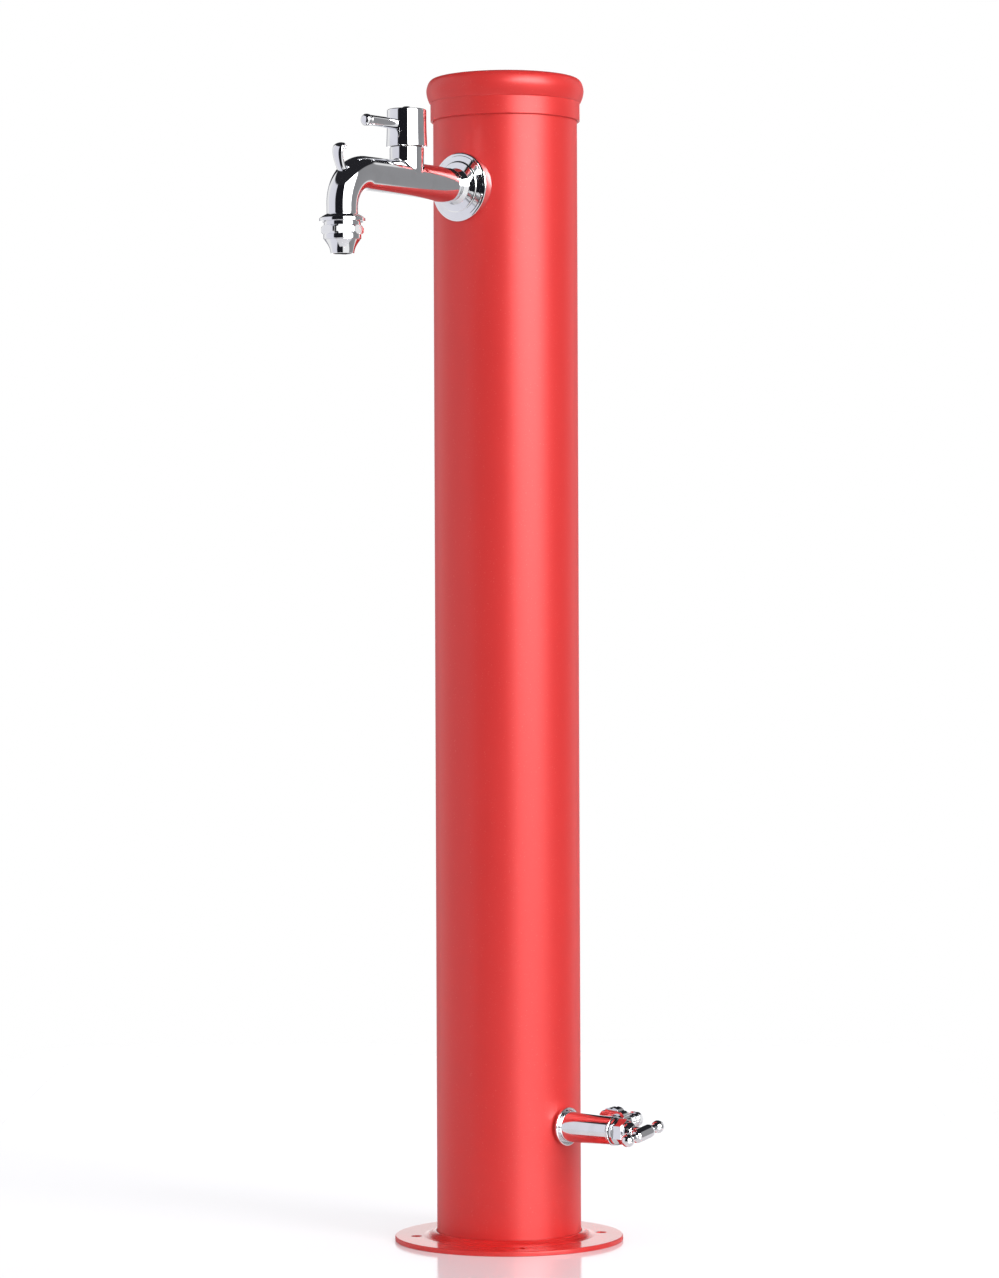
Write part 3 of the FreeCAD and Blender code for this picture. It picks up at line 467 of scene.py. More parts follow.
def turned(profile, count=ROUND):
    """Turned shape: (r cos a, r sin a, h) for each point (r, h) of a profile and each angle a."""
    angle = np.linspace(0, 2 * math.pi, count, endpoint=False)[None, :]
    radius = profile[:, :1]
    height = profile[:, 1:]
    return np.stack([radius * np.cos(angle), radius * np.sin(angle), height + 0 * angle], axis=-1)


def shell(points, place):
    """One closed grid as (points in metres, quads): rows run along the profile, columns go round."""
    rows, columns = points.shape[:2]
    return place(points.reshape(-1, 3)), grid_faces(rows, columns)


def new_piece(name, shells, nodes, slot, flat_angle=FLAT_ANGLE):
    """One object from closed shells, in place of its nodes, on the body that they ride on."""
    start = 0
    all_points = []
    all_faces = []
    for points, faces in shells:
        all_points.append(points)
        all_faces.append(faces + start)
        start += len(points)
    mesh = bpy.data.meshes.new(name)
    mesh.from_pydata(np.concatenate(all_points).tolist(), [], np.concatenate(all_faces).tolist())
    closed(mesh)
    return dress(name, mesh, nodes, slot, flat_angle)


def closed(mesh):
    """Closes a mesh's poles, drops what has no area, and turns its faces outwards."""
    work = bmesh.new()
    work.from_mesh(mesh)
    bmesh.ops.remove_doubles(work, verts=work.verts, dist=WELD_GAP)
    bmesh.ops.dissolve_degenerate(work, edges=work.edges, dist=WELD_GAP / 2)
    bmesh.ops.delete(work, geom=[wire for wire in work.edges if not wire.link_faces], context="EDGES")
    bmesh.ops.recalc_face_normals(work, faces=work.faces)
    work.to_mesh(mesh)
    work.free()


def dress(name, mesh, nodes, slot, flat_angle, bevel_width=0.0):
    """Object for a mesh, smooth but for sharp edges, with its slot's material and its body, in place of its
    nodes.
    """
    mesh.shade_smooth()
    mesh.set_sharp_from_angle(angle=math.radians(flat_angle))
    mesh.materials.clear()
    mesh.materials.append(MATERIALS[slot])
    thing = bpy.data.objects.new(name, mesh)
    bpy.context.scene.collection.objects.link(thing)
    if bevel_width:
        bevel = thing.modifiers.new("broken_edge", "BEVEL")
        bevel.width = bevel_width * MM
        bevel.segments = 2
        bevel.limit_method = "ANGLE"
        bevel.angle_limit = math.radians(flat_angle)
        bevel.harden_normals = False
    weighted = thing.modifiers.new("even_shading", "WEIGHTED_NORMAL")
    weighted.keep_sharp = not bevel_width
    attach(thing, body_of[nodes[0]])
    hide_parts(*nodes)
    return thing


# The column

def column_tube():
    """Painted tube: outer and inner wall turned in one closed profile, with a hole for each tap's shank."""
    low = edge("column_tube", 2, False)
    high = edge("column_tube", 2, True)
    outer = COLUMN_D / 2
    inner = outer - COLUMN_WALL
    rows = np.linspace(low + 1.0, high - 1.0, 60)
    outside = np.stack([np.full_like(rows, outer), rows], axis=1)
    inside = np.stack([np.full_like(rows, inner), rows[::-1]], axis=1)
    profile = np.concatenate([[[outer - 0.2, low]], outside, [[outer - 0.2, high], [inner + 0.2, high]],
                              inside, [[inner + 0.2, low]]])
    skin = shell(turned(profile, FINE_ROUND), placed)
    piece = new_piece("painted_tube", [skin], ["column_tube"], "red_paint")
    cut_holes(piece, [(FRONT, (0, 0, UPPER_Z), WALL_HOLE_D / 2, outer * 2),
                      (SIDE, (0, 0, LOWER_Z), WALL_HOLE_D / 2, outer * 2)])


def cut_holes(piece, holes):
    """Cuts round holes, each a bar from an origin along a direction, and applies the cut to the mesh."""
    for direction, origin, radius, length in holes:
        bar = np.array([[0, 0], [radius, 0], [radius, length], [0, length]], float)
        points, faces = shell(turned(bar, 64), lambda p: placed(p, direction, origin))
        mesh = bpy.data.meshes.new("cutter")
        mesh.from_pydata(points.tolist(), [], faces.tolist())
        closed(mesh)
        cutter = bpy.data.objects.new("cutter", mesh)
        bpy.context.scene.collection.objects.link(cutter)
        cut = piece.modifiers.new("hole", "BOOLEAN")
        cut.operation = "DIFFERENCE"
        cut.object = cutter
        graph = bpy.context.evaluated_depsgraph_get()
        piece.modifiers["even_shading"].show_viewport = False
        graph.update()
        result = bpy.data.meshes.new_from_object(piece.evaluated_get(graph))
        piece.modifiers.remove(cut)
        piece.data = result
        bpy.data.objects.remove(cutter)
        piece.modifiers["even_shading"].show_viewport = True
    piece.data.set_sharp_from_angle(angle=math.radians(FLAT_ANGLE))


def base_plate():
    """Round plate with a softly broken edge, the low weld collar, the pipe hole and the bolt holes."""
    outer = PLATE_D / 2
    thick = PLATE_THICK
    seat = COLUMN_D / 2 + 0.25
    corners = [(PIPE_HOLE_D / 2, 0, 0.4), (outer, 0, 0.6), (outer, thick, 1.3), (outer - 9, thick),
               (WELD_D / 2 + 1.5, thick, 0.8), (WELD_D / 2 - 2, thick + 0.7, 2.0),
               (seat + 2.6, thick + WELD_HEIGHT - 0.5, 1.6), (seat + 0.5, thick + WELD_HEIGHT, 0.3),
               (seat, thick + WELD_HEIGHT - 1.0), (seat, thick), (PIPE_HOLE_D / 2, thick, 0.4)]
    skin = shell(turned(rounded(corners), FINE_ROUND), placed)
    piece = new_piece("painted_plate", [skin], ["base_plate"], "red_paint")
    holes = []
    for number in range(4):
        angle = math.radians(90 * number + 45)
        spot = (BOLT_CIRCLE_D / 2 * math.cos(angle), BOLT_CIRCLE_D / 2 * math.sin(angle), -thick)
        holes.append((UP, spot, BOLT_HOLE_D / 2, thick * 3))
    cut_holes(piece, holes)


def column_cap():
    """Push-on cap: skirt, crease, rolled bead and flat crown outside, the hollow for the tube inside."""
    top = edge("column_cap", 2, True)
    low = edge("column_cap", 2, False)
    inner = COLUMN_D / 2 + 0.2
    skirt = CAP_SKIRT_D / 2
    bead = edge("column_cap", 0, True)
    crease = low + CAP_SKIRT_HEIGHT
    seat = edge("column_tube", 2, True) + 0.3
    corners = [(0, top), (bead - 9.2, top, 4.0), (bead - 2.6, top - 2.0, 5.0), (bead + 0.35, top - 9.6, 6.5),
               (bead - 0.5, top - 16.0, 5.0), (skirt + 0.9, crease + 0.2, 0.5), (skirt, crease - 0.5, 0.3),
               (skirt, low, 0.7), (inner, low, 0.4), (inner, seat, 0.3), (inner - 4, seat, 0.3),
               (inner - 4, top - 2.5, 1.0), (0, top - 2.5)]
    skin = shell(turned(rounded(corners, 9), FINE_ROUND), placed)
    new_piece("painted_cap", [skin], ["column_cap"], "red_paint")


# The lever tap

def upper_rosette():
    """Cover plate: a skirt that follows the column's round, a rolled rim and a face in two stages.

    The skirt's back edge lies on the column's round: its depth is sqrt(RR - xx) at the sideways place x."""
    rim = edge("upper_rosette", 0, True)
    front = ROSETTE_FRONT
    back = front - ROSETTE_THICK
    bore = THREAD_D / 2 + 0.1
    inner = rim - ROSETTE_SKIRT_WALL
    outer_step = ROSETTE_OUTER_STEP_D / 2
    inner_step = ROSETTE_INNER_STEP_D / 2
    face = [(rim, back + 0.5, 0.5), (rim - 0.9, back + 1.15, 0.6), (outer_step, back + 1.6, 0.12),
            (outer_step - 0.35, back + 1.85, 0.12), (inner_step, back + 3.25, 0.3),
            (inner_step - 0.8, back + 4.15, 0.4), (NECK_D / 2, front, 0.3), (bore, front)]
    profile = np.concatenate([[(bore, back), (inner, back), (inner, 0), (rim - 0.3, 0), (rim, 0.3)],
                              rounded([(rim, 0.3)] + face)[1:]])
    points = turned(profile, FINE_ROUND)
    depth = np.sqrt(ROSETTE_BACK_R ** 2 - points[..., 0] ** 2)
    points[2:4, :, 2] = depth[2:4]
    points[4, :, 2] = depth[4] + 0.3
    new_piece("tap_rosette", [shell(points, on_upper)], ["upper_rosette"], "chrome")


def centreline(distance):
    """The spout's centreline by distance along it: level with a slight rise, a quarter bend, then down.

    Gives the points and the unit normals that point up, square to the line."""
    level = BEND_START
    bend = math.pi / 2 * BEND_R
    share = np.clip((distance - CONE_END) / (level - CONE_END), 0, 1)
    turn = np.clip((distance - level) / bend, 0, 1) * math.pi / 2
    rise = SPOUT_RISE * (1 - (1 - share) ** 3) * np.cos(turn)
    forward = np.minimum(distance, level) + BEND_R * np.sin(turn)
    height = BEND_R * (np.cos(turn) - 1) + rise - np.maximum(distance - level - bend, 0)
    points = np.stack([0 * distance, -forward, UPPER_Z + height], axis=1)
    upward = np.stack([0 * distance, -np.sin(turn), np.cos(turn)], axis=1)
    return points, upward


def along_spout(profile, count=ROUND):
    """Profile of (radius, distance) points along the centreline: c + r cos a across + r sin a upward."""
    points, upward = centreline(profile[:, 1])
    angle = np.linspace(0, 2 * math.pi, count, endpoint=False)
    across = np.array([1.0, 0, 0])
    ring = np.cos(angle)[None, :, None] * across + np.sin(angle)[None, :, None] * upward[:, None, :]
    return points[:, None, :] + profile[:, 0][:, None, None] * ring


def spout_radius(distance):
    """Outer radius of the spout between the cone behind the valve and the outlet."""
    share = np.clip((distance - CONE_END) / (BEND_START - CONE_END), 0, 1)
    turn = np.clip((distance - BEND_START) / (BEND_R * math.pi / 2), 0, 1) * math.pi / 2
    radius = SPOUT_ROOT_D / 2 + (SPOUT_END_D / 2 + BEND_STAND - SPOUT_ROOT_D / 2) * share
    return radius - BEND_STAND * (1 - np.cos(turn))


def tap_body():
    """The plated casting: shank, neck, spout and outlet thread as one skin, the valve boss and the hook."""
    leg_end = BEND_START + BEND_R * math.pi / 2 + (UPPER_Z - BEND_R - edge("outlet_skirt", 2, True))
    thread = THREAD_D / 2
    root = SPOUT_ROOT_D / 2
    groove = NECK_GROOVE_D / 2
    waist = NECK_WAIST_D / 2
    back = edge("upper_tap_body", 1, True)
    front = ROSETTE_FRONT
    start = [(0, -back), (thread, -back, 0.6), (thread, front), (NECK_D / 2, front, 0.2),
             (waist, NECK_END - 0.1, 0.5), (groove, NECK_END + 0.1, 0.15), (groove, NECK_END + 0.5, 0.15),
             (waist, NECK_END + 0.7, 0.2)]
    cone = bow((waist + 0.1, NECK_END + 0.8), (root, CONE_END), 0.6, 0)
    run = np.linspace(CONE_END + 1.0, leg_end - 0.6, 90)
    skin = np.stack([spout_radius(run), run], axis=1)
    mouth = leg_end + OUTLET_THREAD
    bore = SPOUT_BORE_D / 2
    end = [(SPOUT_END_D / 2, leg_end, 0.3), (thread, leg_end), (thread, mouth, 0.6), (bore, mouth),
           (bore, mouth - SPOUT_BORE_DEPTH), (0, mouth - SPOUT_BORE_DEPTH)]
    profile = np.concatenate([rounded(start), cone, skin, rounded(end)])
    skin_shell = shell(along_spout(profile), as_metres)
    new_piece("tap_casting", [skin_shell, boss_shell(), hook_shell()], ["upper_tap_body"], "chrome")


def boss_shell():
    """Valve boss: a round wall whose foot follows the spout, with a hollow fillet where the two meet.

    At angle a the foot is where the boss's radius meets the spout's round, z = sqrt(rr - RR cos a cos a);
    the fillet is the curve (1-t)(1-t)P + 2t(1-t)J + ttQ from the boss's wall to the spout's skin."""
    count = ROUND
    angle = np.linspace(0, 2 * math.pi, count, endpoint=False)
    big = BOSS_D / 2
    tube = float(spout_radius(np.array(VALVE_REACH)))
    axis_rise = float(centreline(np.array([VALVE_REACH]))[0][0, 2])
    side = np.clip(big * np.cos(angle) / tube, -1, 1)
    foot = tube * np.sqrt(1 - side ** 2)
    joint = np.stack([big * np.cos(angle), big * np.sin(angle), foot], axis=1)
    wall_end = joint + np.array([0, 0, FILLET])
    spread = np.arcsin(side) + FILLET * np.cos(angle) / tube * np.abs(np.sin(angle))
    skin_end = np.stack([tube * np.sin(spread), (big + FILLET * np.abs(np.sin(angle))) * np.sin(angle),
                         tube * np.cos(spread)], axis=1)
    ease = np.linspace(0, 1, 9)[:, None, None]
    fillet = (1 - ease) ** 2 * skin_end + 2 * ease * (1 - ease) * joint + ease ** 2 * wall_end
    top = BOSS_TOP_Z - axis_rise
    rows = [np.broadcast_to([0.0, 0.0, 0.0], (1, count, 3)), fillet]
    bore = BOSS_BORE_D / 2
    for radius, height in rounded([(big, top - 2.0), (big, top, 0.5), (bore, top, 0.3), (bore, top - 2.0)]):
        ring = [radius * np.cos(angle), radius * np.sin(angle), 0 * angle + height]
        rows.append(np.stack(ring, axis=1)[None])
    rows.append(np.broadcast_to([0.0, 0.0, top - 4.0], (1, count, 3)))
    return shell(np.concatenate(rows), lambda p: placed(p, UP, (0, -VALVE_REACH, axis_rise)))


def smooth_path(spots, count):
    """Catmull-Rom curve through rows of numbers: each stretch is the usual cubic of its four neighbours."""
    spots = np.asarray(spots, float)
    padded = np.concatenate([spots[:1] * 2 - spots[1:2], spots, spots[-1:] * 2 - spots[-2:-1]])
    where = np.linspace(0, len(spots) - 1, count)
    index = np.minimum(where.astype(int), len(spots) - 2)
    t = (where - index)[:, None]
    a, b, c, d = (padded[index + step] for step in range(4))
    square = (2 * a - 5 * b + 4 * c - d) * t ** 2
    cube = (3 * b - a - 3 * c + d) * t ** 3
    return 0.5 * (2 * b + (c - a) * t + square + cube)


def hook_shell():
    """Bucket hook: ovals of (half width, half thickness) carried along a curve that climbs and curls back."""
    path = smooth_path(HOOK_OVALS, 60)
    last = path[-1:].copy()
    last[:, 2:] = 0
    last[:, :2] += (path[-1, :2] - path[-2, :2]) * 0.8
    first = path[:1].copy()
    first[:, 2:] = 0
    first[:, :2] -= (path[1, :2] - path[0, :2]) * 0.8
    path = np.concatenate([first, path, last])
    ahead = np.gradient(path[:, :2], axis=0)
    ahead /= np.linalg.norm(ahead, axis=1)[:, None]
    angle = np.linspace(0, 2 * math.pi, 40, endpoint=False)[None, :]
    across = path[:, 2:3] * np.cos(angle)
    depth = path[:, 3:4] * np.sin(angle)
    forward = path[:, :1] - ahead[:, 1:] * depth
    height = path[:, 1:2] + ahead[:, :1] * depth
    points = np.stack([across, -(SPOUT_REACH + forward), UPPER_Z + height], axis=-1)
    return shell(points, as_metres)


def handle_cap():
    """Lever head: a hollow cup, a touch wider at its lower rim, with softly broken edges."""
    low = edge("handle_cap", 2, False)
    high = edge("handle_cap", 2, True)
    wide = edge("handle_cap", 0, True)
    top = HEAD_TOP_D / 2
    hollow = HEAD_BORE_D / 2
    corners = [(0, high), (top, high, 1.5), (top, high - 14.0, 8.0), (wide, low + 1.6, 1.0),
               (wide, low, 0.5), (hollow, low, 0.4), (hollow, low + HEAD_HOLLOW, 0.5), (0, low + HEAD_HOLLOW)]
    new_piece("lever_head", [shell(turned(rounded(corners)), at_valve)], ["handle_cap"], "chrome")


def lever_rod():
    """Lever: a round bar with a turned groove and a domed tip."""
    end = -edge("lever_rod", 1, False) - VALVE_REACH
    bar = LEVER_D / 2
    tip = LEVER_TIP_D / 2
    corners = [(0, 9.0), (bar, 9.0), (bar, end - 6.6, 0.3), (bar - 0.7, end - 6.2, 0.3),
               (bar - 0.7, end - 5.3, 0.3), (tip, end - 4.9, 0.4), (tip, end - 1.9, 1.2),
               (tip - 1.9, end, 1.6), (0, end)]
    skin = shell(turned(rounded(corners), 96), lambda p: placed(p, FRONT, (0, -VALVE_REACH, LEVER_Z)))
    new_piece("lever_bar", [skin], ["lever_rod"], "chrome")


def handle_button():
    """Domed screw head with a thin seat ring and its shank."""
    low = edge("handle_button", 2, False)
    high = edge("handle_button", 2, True)
    seat = edge("handle_cap", 2, True)
    ring = BUTTON_D / 2
    shank = BUTTON_SHANK_D / 2
    corners = [(0, high), (2.4, high - 0.1, 1.2), (ring - 0.3, high - 1.2, 0.9), (ring, seat + 0.9, 0.3),
               (ring, seat, 0.2), (shank, seat), (shank, low), (0, low)]
    new_piece("lever_screw", [shell(turned(rounded(corners), 64), at_valve)], ["handle_button"], "chrome")


def outlet_skirt():
    """Drip ring: a bell that bows out from the leg to an upright lip, with a band under it."""
    top = edge("outlet_skirt", 2, True)
    low = edge("outlet_skirt", 2, False)
    rim = edge("outlet_skirt", 0, True)
    bore = THREAD_D / 2 + 0.1
    band = BAND_D / 2
    rim_z = top - SKIRT_DROP
    bell = bow((13.0, top - 0.15), (rim - 0.3, rim_z + 2.85), 0.15, 0.15)
    lip = [(rim, rim_z + 2.6, 0.3), (rim, rim_z + 0.05, 0.35), (rim - 1.0, rim_z + 0.05, 0.3),
           (band + 0.2, rim_z + 1.5, 0.3), (band, rim_z + 0.9, 0.3), (band, low, 0.3), (bore, low)]
    profile = np.concatenate([[(bore, top), (12.7, top)], bell, rounded([tuple(bell[-1])] + lip)[1:]])
    new_piece("drip_ring", [shell(turned(profile), at_spout)], ["outlet_skirt"], "chrome")


def hexagon_shell(flats, low, high, bore, turn, place):
    """Hexagon nut: a side at distance f has the radius f / cos d, where d is the angle off its middle.

    Its vertical edges are broken, and near both ends its corners are held inside a round chamfer."""
    count = 240
    angle = np.linspace(0, 2 * math.pi, count, endpoint=False)
    off = angle % (math.pi / 3) - math.pi / 6
    side = flats / 2 / np.cos(np.clip(off, -0.49, 0.49))
    rows = []
    for height, limit in ((low, 0.0), (low, 0.60), (low + 0.7, 1.05), (low + 1.6, 3.0),
                          (high - 1.6, 3.0), (high - 0.7, 1.05), (high, 0.60), (high, 0.0)):
        radius = np.minimum(side, flats / 2 + limit) if limit else np.full(count, bore)
        ring = [radius * np.cos(angle + turn), radius * np.sin(angle + turn), 0 * angle + height]
        rows.append(np.stack(ring, axis=1))
    return shell(np.array(rows), place)


def outlet_nozzle():
    """Screwed nozzle: hexagon nut, plain ring, hollow-sided cone and a thin rounded lip, bored through."""
    top = edge("outlet_nozzle", 2, True)
    low = edge("outlet_nozzle", 2, False)
    ring = NOZZLE_RING_D / 2
    lip = NOZZLE_LIP_D / 2
    mouth_bore = NOZZLE_BORE_D / 2
    ring_z = top - NOZZLE_NUT_HEIGHT
    cone_z = ring_z - NOZZLE_RING_HEIGHT
    thread = THREAD_D / 2 + 0.1
    collar = [(thread, ring_z + 0.4), (ring - 0.3, ring_z + 0.4), (ring, ring_z - 0.2, 0.3),
              (ring, cone_z + 0.5, 0.5), (ring - 0.6, cone_z - 0.1, 0.3)]
    cone = bow((ring - 0.7, cone_z - 0.2), (lip + 0.25, low + 2.0), -0.95, -0.4)
    mouth = [(lip, low + 0.9, 0.6), (lip - 0.1, low, 0.35), (mouth_bore, low, 0.35), (mouth_bore, low + 10.3),
             (8.3, low + 10.3), (8.3, low + 12.7), (thread, low + 12.7)]
    profile = np.concatenate([rounded(collar), cone, rounded([tuple(cone[-1])] + mouth)[1:]])
    nut = hexagon_shell(NOZZLE_FLATS, ring_z, top, thread, NOZZLE_NUT_TURN, at_spout)
    new_piece("spout_nozzle", [nut, shell(turned(profile), at_spout)], ["outlet_nozzle"], "chrome", 24.0)


# The angle valve

def lower_rosette():
    """Small cover ring: a half-round bead at the rim and a lower face inside it."""
    rim = edge("lower_rosette", 1, True)
    back = edge("lower_rosette", 0, False)
    front = edge("lower_rosette", 0, True)
    bore = THREAD_D / 2 + 0.1
    bead = ROSETTE_BEAD_R
    arc = [(rim - bead + bead * math.cos(turn), front - bead + bead * math.sin(turn))
           for turn in np.linspace(0, math.pi, 13)]
    profile = np.array([(bore, back), (rim - 0.2, back), (rim, back + 0.2)] + arc + [(bore, front - bead)])
    new_piece("valve_rosette", [shell(turned(profile), on_lower)], ["lower_rosette"], "chrome")


def valve_body():
    """Plated angle valve: shank and tapered barrel in one skin, with the side outlet's neck and thread."""
    back = edge("lower_valve_body", 0, False)
    end = edge("lower_valve_body", 0, True)
    front = edge("lower_rosette", 0, True) - ROSETTE_BEAD_R
    thread = THREAD_D / 2
    root = BARREL_ROOT_D / 2
    groove = BARREL_GROOVE_D / 2
    rim = BARREL_RIM_D / 2
    bore = BARREL_BORE_D / 2
    corners = [(0, back), (thread, back, 0.5), (thread, front), (root, front, 0.3),
               (root + 0.05, front + 1.0, 0.5), (BARREL_END_D / 2, end - 2.6, 0.3), (groove, end - 2.2, 0.2),
               (groove, end - 2.0, 0.1), (rim, end - 1.9, 0.3), (rim, end - 0.2, 0.4), (rim - 0.8, end, 0.2),
               (bore, end, 0.2), (bore, end - 6.0), (0, end - 6.0)]
    barrel = shell(turned(rounded(corners)), on_lower)
    wide = OUTLET_NECK_D / 2
    mouth = OUTLET_BORE_D / 2
    neck = [(0, OUTLET_START), (wide, OUTLET_START), (wide, 12.6, 0.5), (thread, 13.2, 0.3),
            (thread, OUTLET_END, 0.5), (mouth, OUTLET_END, 0.3), (mouth, OUTLET_END - 6.0),
            (0, OUTLET_END - 6.0)]
    branch = shell(turned(rounded(neck), 96), on_outlet)
    new_piece("valve_casting", [barrel, branch], ["lower_valve_body"], "chrome")


def hose_tail():
    """Hose tail: flange, plain neck and a row of barbs, bored through."""
    bore = TAIL_BORE_D / 2
    flange = TAIL_FLANGE_D / 2
    neck = TAIL_NECK_D / 2
    root = TAIL_ROOT_D / 2
    barb = BARB_D / 2
    corners = [(bore, TAIL_START), (flange, TAIL_START), (flange, TAIL_START + 2.0, 0.3),
               (neck, TAIL_START + 2.0), (neck, 26.8, 0.5), (root, 28.0, 0.5)]
    for number in range(BARBS):
        start = BARB_START + BARB_PITCH * number
        corners += [(root, start, 0.3), (barb, start + 0.1, 0.3), (barb, start + 1.0, 0.35),
                    (root + 0.1, start + 5.6, 0.3)]
    corners += [(root - 0.1, TAIL_END, 0.5), (bore, TAIL_END, 0.3)]
    new_piece("hose_barb", [shell(turned(rounded(corners), 96), on_outlet)], ["hose_tail"], "chrome")


def lower_handle():
    """T handle: thick middle, thin necks and a ball at each end, on a short hub."""
    ball = HANDLE_BALL_D / 2
    neck = HANDLE_NECK_D / 2
    grip = HANDLE_GRIP_D / 2
    last = math.pi - math.asin(neck / ball)
    dome = [(ball * math.sin(turn), -HANDLE_BALL_OFF - ball * math.cos(turn))
            for turn in np.linspace(0, last, 20)]
    half = [(neck, -11.25, 0.4), (neck + 0.5, -11.25, 0.3), (grip - 0.7, -10.3, 1.0), (grip, -8.3, 1.2)]
    bar = half + [(radius, -height, size) for radius, height, size in half[::-1]]
    profile = np.concatenate([dome, rounded([dome[-1]] + bar + [(neck, -dome[-1][1])])[1:-1],
                              [(radius, -height) for radius, height in dome[::-1]]])
    cross = shell(turned(profile, 96), lambda p: placed(p, HANDLE_BAR, (HANDLE_REACH, 0, LOWER_Z)))
    low = HANDLE_REACH - 7.0
    high = HANDLE_REACH - 1.0
    hub_r = HANDLE_HUB_D / 2
    corners = [(0, low), (hub_r, low, 0.4), (hub_r, high), (0, high)]
    hub = shell(turned(rounded(corners), 64), on_lower)
    new_piece("valve_handle", [cross, hub], ["lower_handle"], "chrome")


def lower_gland_nut():
    """Gland nut: a turned cup that tapers to its nose."""
    start = edge("lower_gland_nut", 0, False)
    end = edge("lower_gland_nut", 0, True)
    wide = GLAND_D / 2
    bore = GLAND_BORE_D / 2
    thread = GLAND_THREAD_D / 2
    corners = [(thread, start), (wide, start, 0.4), (wide, end - 3.7, 0.8),
               (GLAND_NOSE_D / 2, end - 0.1, 0.5), (bore, end, 0.1), (bore, end - 1.8), (thread, end - 1.8)]
    new_piece("gland_cup", [shell(turned(rounded(corners), 96), on_lower)], ["lower_gland_nut"], "chrome")


def softened(node, width=0.35, flat_angle=35.0):
    """A copy of a node's own mesh, closed, flat faces joined and sharp edges broken by a small bevel."""
    work = bmesh.new()
    work.from_mesh(frame["nodes"][node].data)
    bmesh.ops.remove_doubles(work, verts=work.verts, dist=WELD_GAP)
    bmesh.ops.dissolve_limit(work, angle_limit=math.radians(0.6), verts=work.verts, edges=work.edges,
                             delimit={"NORMAL"})
    mesh = bpy.data.meshes.new(node + "_soft")
    work.to_mesh(mesh)
    work.free()
    return dress(node + "_soft", mesh, [node], slot_of[node], flat_angle, width)


column_tube()
base_plate()
column_cap()
upper_rosette()
tap_body()
handle_cap()
lever_rod()
handle_button()
outlet_skirt()
outlet_nozzle()
lower_rosette()
valve_body()
hose_tail()
lower_handle()
lower_gland_nut()
softened("union_nut")
softened("lower_bonnet")
softened("upper_wall_gasket", 0.2)
softened("lower_wall_gasket", 0.2)


# Light, floor and camera

PHOTO_WIDTH = 999
PHOTO_HEIGHT = 1278
FOCAL_PX = 4076.0
CAMERA_DISTANCE = 3.400
CAMERA_HEIGHT = 0.5196
CAMERA_AZIMUTH = math.radians(38.5)
CAMERA_ROLL = math.radians(0.216)
HORIZON_PX = 616.0
AXIS_PX = 506.9
SENSOR_MM = 36.0
CAMERA_RIGHT = Vector((math.cos(CAMERA_AZIMUTH), math.sin(CAMERA_AZIMUTH), 0))
CAMERA_BACK = Vector((math.sin(CAMERA_AZIMUTH), -math.cos(CAMERA_AZIMUTH), 0))
TABLE_LEFT = -0.60
TABLE_RIGHT = 0.53
TABLE_FRONT = 1.2
TABLE_BACK = -1.6
TABLE_FADE = 0.15
ROOM_WHITE = (0.95, 0.95, 0.95)
ROOM_GREY = (0.40, 0.40, 0.44)
ROOM_SHADE = (0.30, 0.30, 0.33)
ROOM_BLACK = (0.012, 0.012, 0.016)
CEILING_BLACK = (0.02, 0.02, 0.024)
PLAIN_LIGHT = (0.68, 0.68, 0.69)
WINDOW_LIGHT = 17.0
BACKDROP_LIGHT = 0.32
LAMP_AIM_HEIGHT = 0.5


def camera():
    """Level camera at the photograph's angle, its frame shifted a little and rolled by the CAMERA_ROLL."""
    data = bpy.data.cameras.new("camera")
    data.sensor_width = SENSOR_MM
    data.lens = FOCAL_PX / PHOTO_HEIGHT * SENSOR_MM
    data.shift_x = -(AXIS_PX - PHOTO_WIDTH / 2) / PHOTO_HEIGHT
    data.shift_y = -(PHOTO_HEIGHT / 2 - HORIZON_PX) / PHOTO_HEIGHT
    up = Vector(UP) * math.cos(CAMERA_ROLL) + CAMERA_RIGHT * math.sin(CAMERA_ROLL)
    across = CAMERA_RIGHT * math.cos(CAMERA_ROLL) - Vector(UP) * math.sin(CAMERA_ROLL)
    turn = Matrix((across, up, CAMERA_BACK)).transposed().to_4x4()
    place = CAMERA_BACK * CAMERA_DISTANCE + Vector((0, 0, CAMERA_HEIGHT))
    thing = bpy.data.objects.new("camera", data)
    thing.matrix_world = Matrix.Translation(place) @ turn
    bpy.context.scene.collection.objects.link(thing)
    bpy.context.scene.camera = thing


def table_fade(tree, direction, start, end, fade):
    """1 over the table, easing to 0 over the fade's width before its edges at start and end."""
    off_middle = (tree.along(tree.place(), direction) - (start + end) / 2).math("ABSOLUTE")
    half = (end - start) / 2
    return 1.0 - off_middle.clamped(half - fade, half)


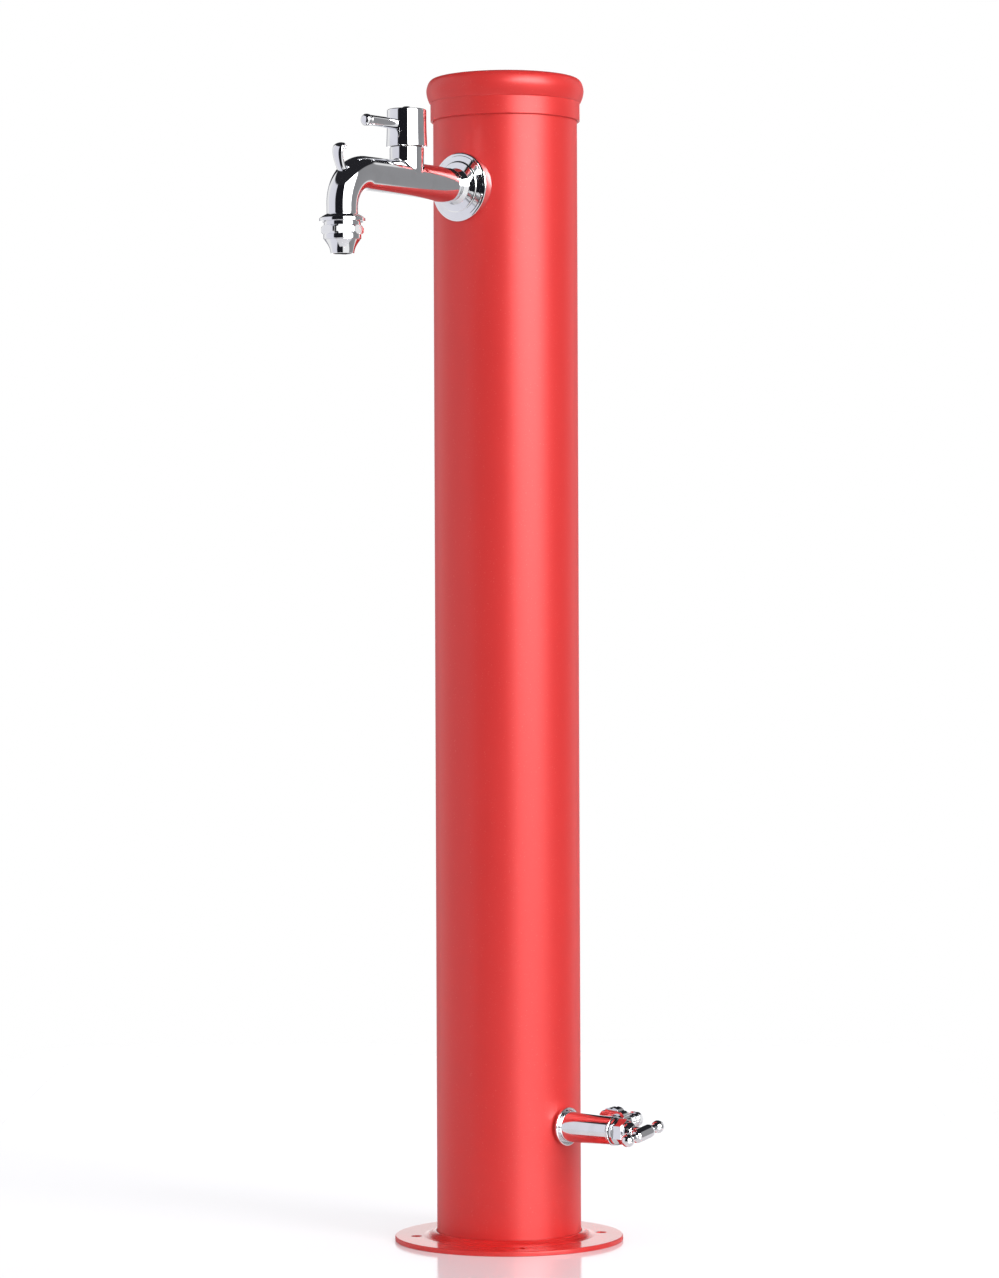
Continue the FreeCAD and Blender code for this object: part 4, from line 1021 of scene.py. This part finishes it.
def floor():
    """White table top, squared up with the camera: glossy, and lifted to white for camera rays alone."""
    spots = [(TABLE_LEFT, TABLE_FRONT), (TABLE_RIGHT, TABLE_FRONT),
             (TABLE_RIGHT, TABLE_BACK), (TABLE_LEFT, TABLE_BACK)]
    corners = [CAMERA_RIGHT * across + CAMERA_BACK * toward for across, toward in spots]
    mesh = bpy.data.meshes.new("floor")
    mesh.from_pydata([tuple(corner) for corner in corners], [], [(0, 1, 2, 3)])
    thing = bpy.data.objects.new("floor", mesh)
    bpy.context.scene.collection.objects.link(thing)
    made, tree = material("floor")
    camera_ray = tree.node("ShaderNodeLightPath", output="Is Camera Ray")
    side_fade = table_fade(tree, CAMERA_RIGHT, TABLE_LEFT, TABLE_RIGHT, TABLE_FADE)
    end_fade = table_fade(tree, CAMERA_BACK, TABLE_BACK, TABLE_FRONT, TABLE_FADE * 2)
    tree.surface({
        "Alpha": side_fade * end_fade,
        "Base Color": (0.88, 0.88, 0.90, 1.0),
        "Roughness": 0.10 + tree.noise(6.0, 2.0) * 0.05,
        "Emission Color": tree.colours(camera_ray, (0.0, 0.0, 0.0), (0.06, 0.06, 0.07)),
        "Emission Strength": 1.0,
    })
    mesh.materials.append(made)


def world():
    """White studio: seen as white by the camera; glossy rays see the room's light and dark walls.

    A wall's bearing is a share of a turn: 0.5 looks towards the camera, 0 and 1 look away from it."""
    made = bpy.data.worlds.new("world")
    made.use_nodes = True
    tree = Tree(made.node_tree)
    ray = tree.node("ShaderNodeTexCoord", output="Generated")
    height = tree.part(ray, "Z")
    ahead = tree.along(ray, CAMERA_BACK)
    sideways = tree.along(ray, CAMERA_RIGHT)
    bearing = sideways.math("ARCTAN2", ahead) * (0.5 / math.pi) + 0.5
    walls = tree.node("ShaderNodeValToRGB", {"stops": [
        (0.0, ROOM_WHITE), (0.035, ROOM_WHITE), (0.045, ROOM_SHADE), (0.095, ROOM_GREY),
        (0.11, ROOM_WHITE), (0.17, ROOM_WHITE), (0.20, (0.84, 0.84, 0.90)), (0.352, (0.78, 0.78, 0.86)),
        (0.362, ROOM_BLACK), (0.515, ROOM_BLACK), (0.523, (1.0, 1.0, 1.0)), (0.690, (1.0, 1.0, 1.0)),
        (0.698, (0.28, 0.28, 0.29)), (0.825, (0.32, 0.32, 0.33)), (0.845, ROOM_WHITE), (0.89, ROOM_WHITE),
        (0.905, ROOM_GREY), (0.955, ROOM_SHADE), (0.965, ROOM_WHITE), (1.0, ROOM_WHITE),
    ]}, {"Fac": bearing})
    behind = (ahead * -1.0).clamped(0.50, 0.80)
    ceiling = (height + behind * 0.36).clamped(0.62, 0.68)
    room = tree.colours(ceiling, walls, CEILING_BLACK)
    window = bearing.clamped(0.515, 0.555) * (1.0 - bearing.clamped(0.640, 0.700))
    window = window * height.clamped(-0.05, 0.20) * (1.0 - ceiling) * WINDOW_LIGHT
    backdrop = (ahead * -1.0).clamped(0.955, 0.985) * (1.0 - height.clamped(0.25, 0.30)) * BACKDROP_LIGHT
    glossy = tree.node("ShaderNodeLightPath", output="Is Glossy Ray")
    camera_ray = tree.node("ShaderNodeLightPath", output="Is Camera Ray")
    lit = tree.colours(glossy, PLAIN_LIGHT, room)
    shader = tree.node("ShaderNodeBackground", values={
        "Color": tree.colours(camera_ray, lit, (1.0, 1.0, 1.0)),
        "Strength": (window + backdrop) * glossy + 1.0,
    })
    tree.node_output("ShaderNodeOutputWorld", shader)
    bpy.context.scene.world = made


def softbox(name, bearing_deg, distance, height, size, watts):
    """A soft rectangular lamp at a bearing from the camera's own, facing the column's middle."""
    data = bpy.data.lights.new(name, "AREA")
    data.shape = "RECTANGLE"
    data.size, data.size_y = size
    data.energy = watts
    angle = CAMERA_AZIMUTH + math.radians(bearing_deg)
    place = Vector((math.sin(angle) * distance, -math.cos(angle) * distance, height))
    thing = bpy.data.objects.new(name, data)
    aim = Vector((0, 0, LAMP_AIM_HEIGHT)) - place
    thing.matrix_world = Matrix.Translation(place) @ aim.to_track_quat("-Z", "Y").to_matrix().to_4x4()
    thing.visible_glossy = False
    bpy.context.scene.collection.objects.link(thing)


camera()
floor()
world()
softbox("softbox_right", 48, 2.2, 1.35, (0.9, 2.0), 30)
softbox("softbox_left", -70, 2.6, 1.0, (1.0, 2.0), 7)

bpy.context.scene.view_settings.view_transform = "Standard"
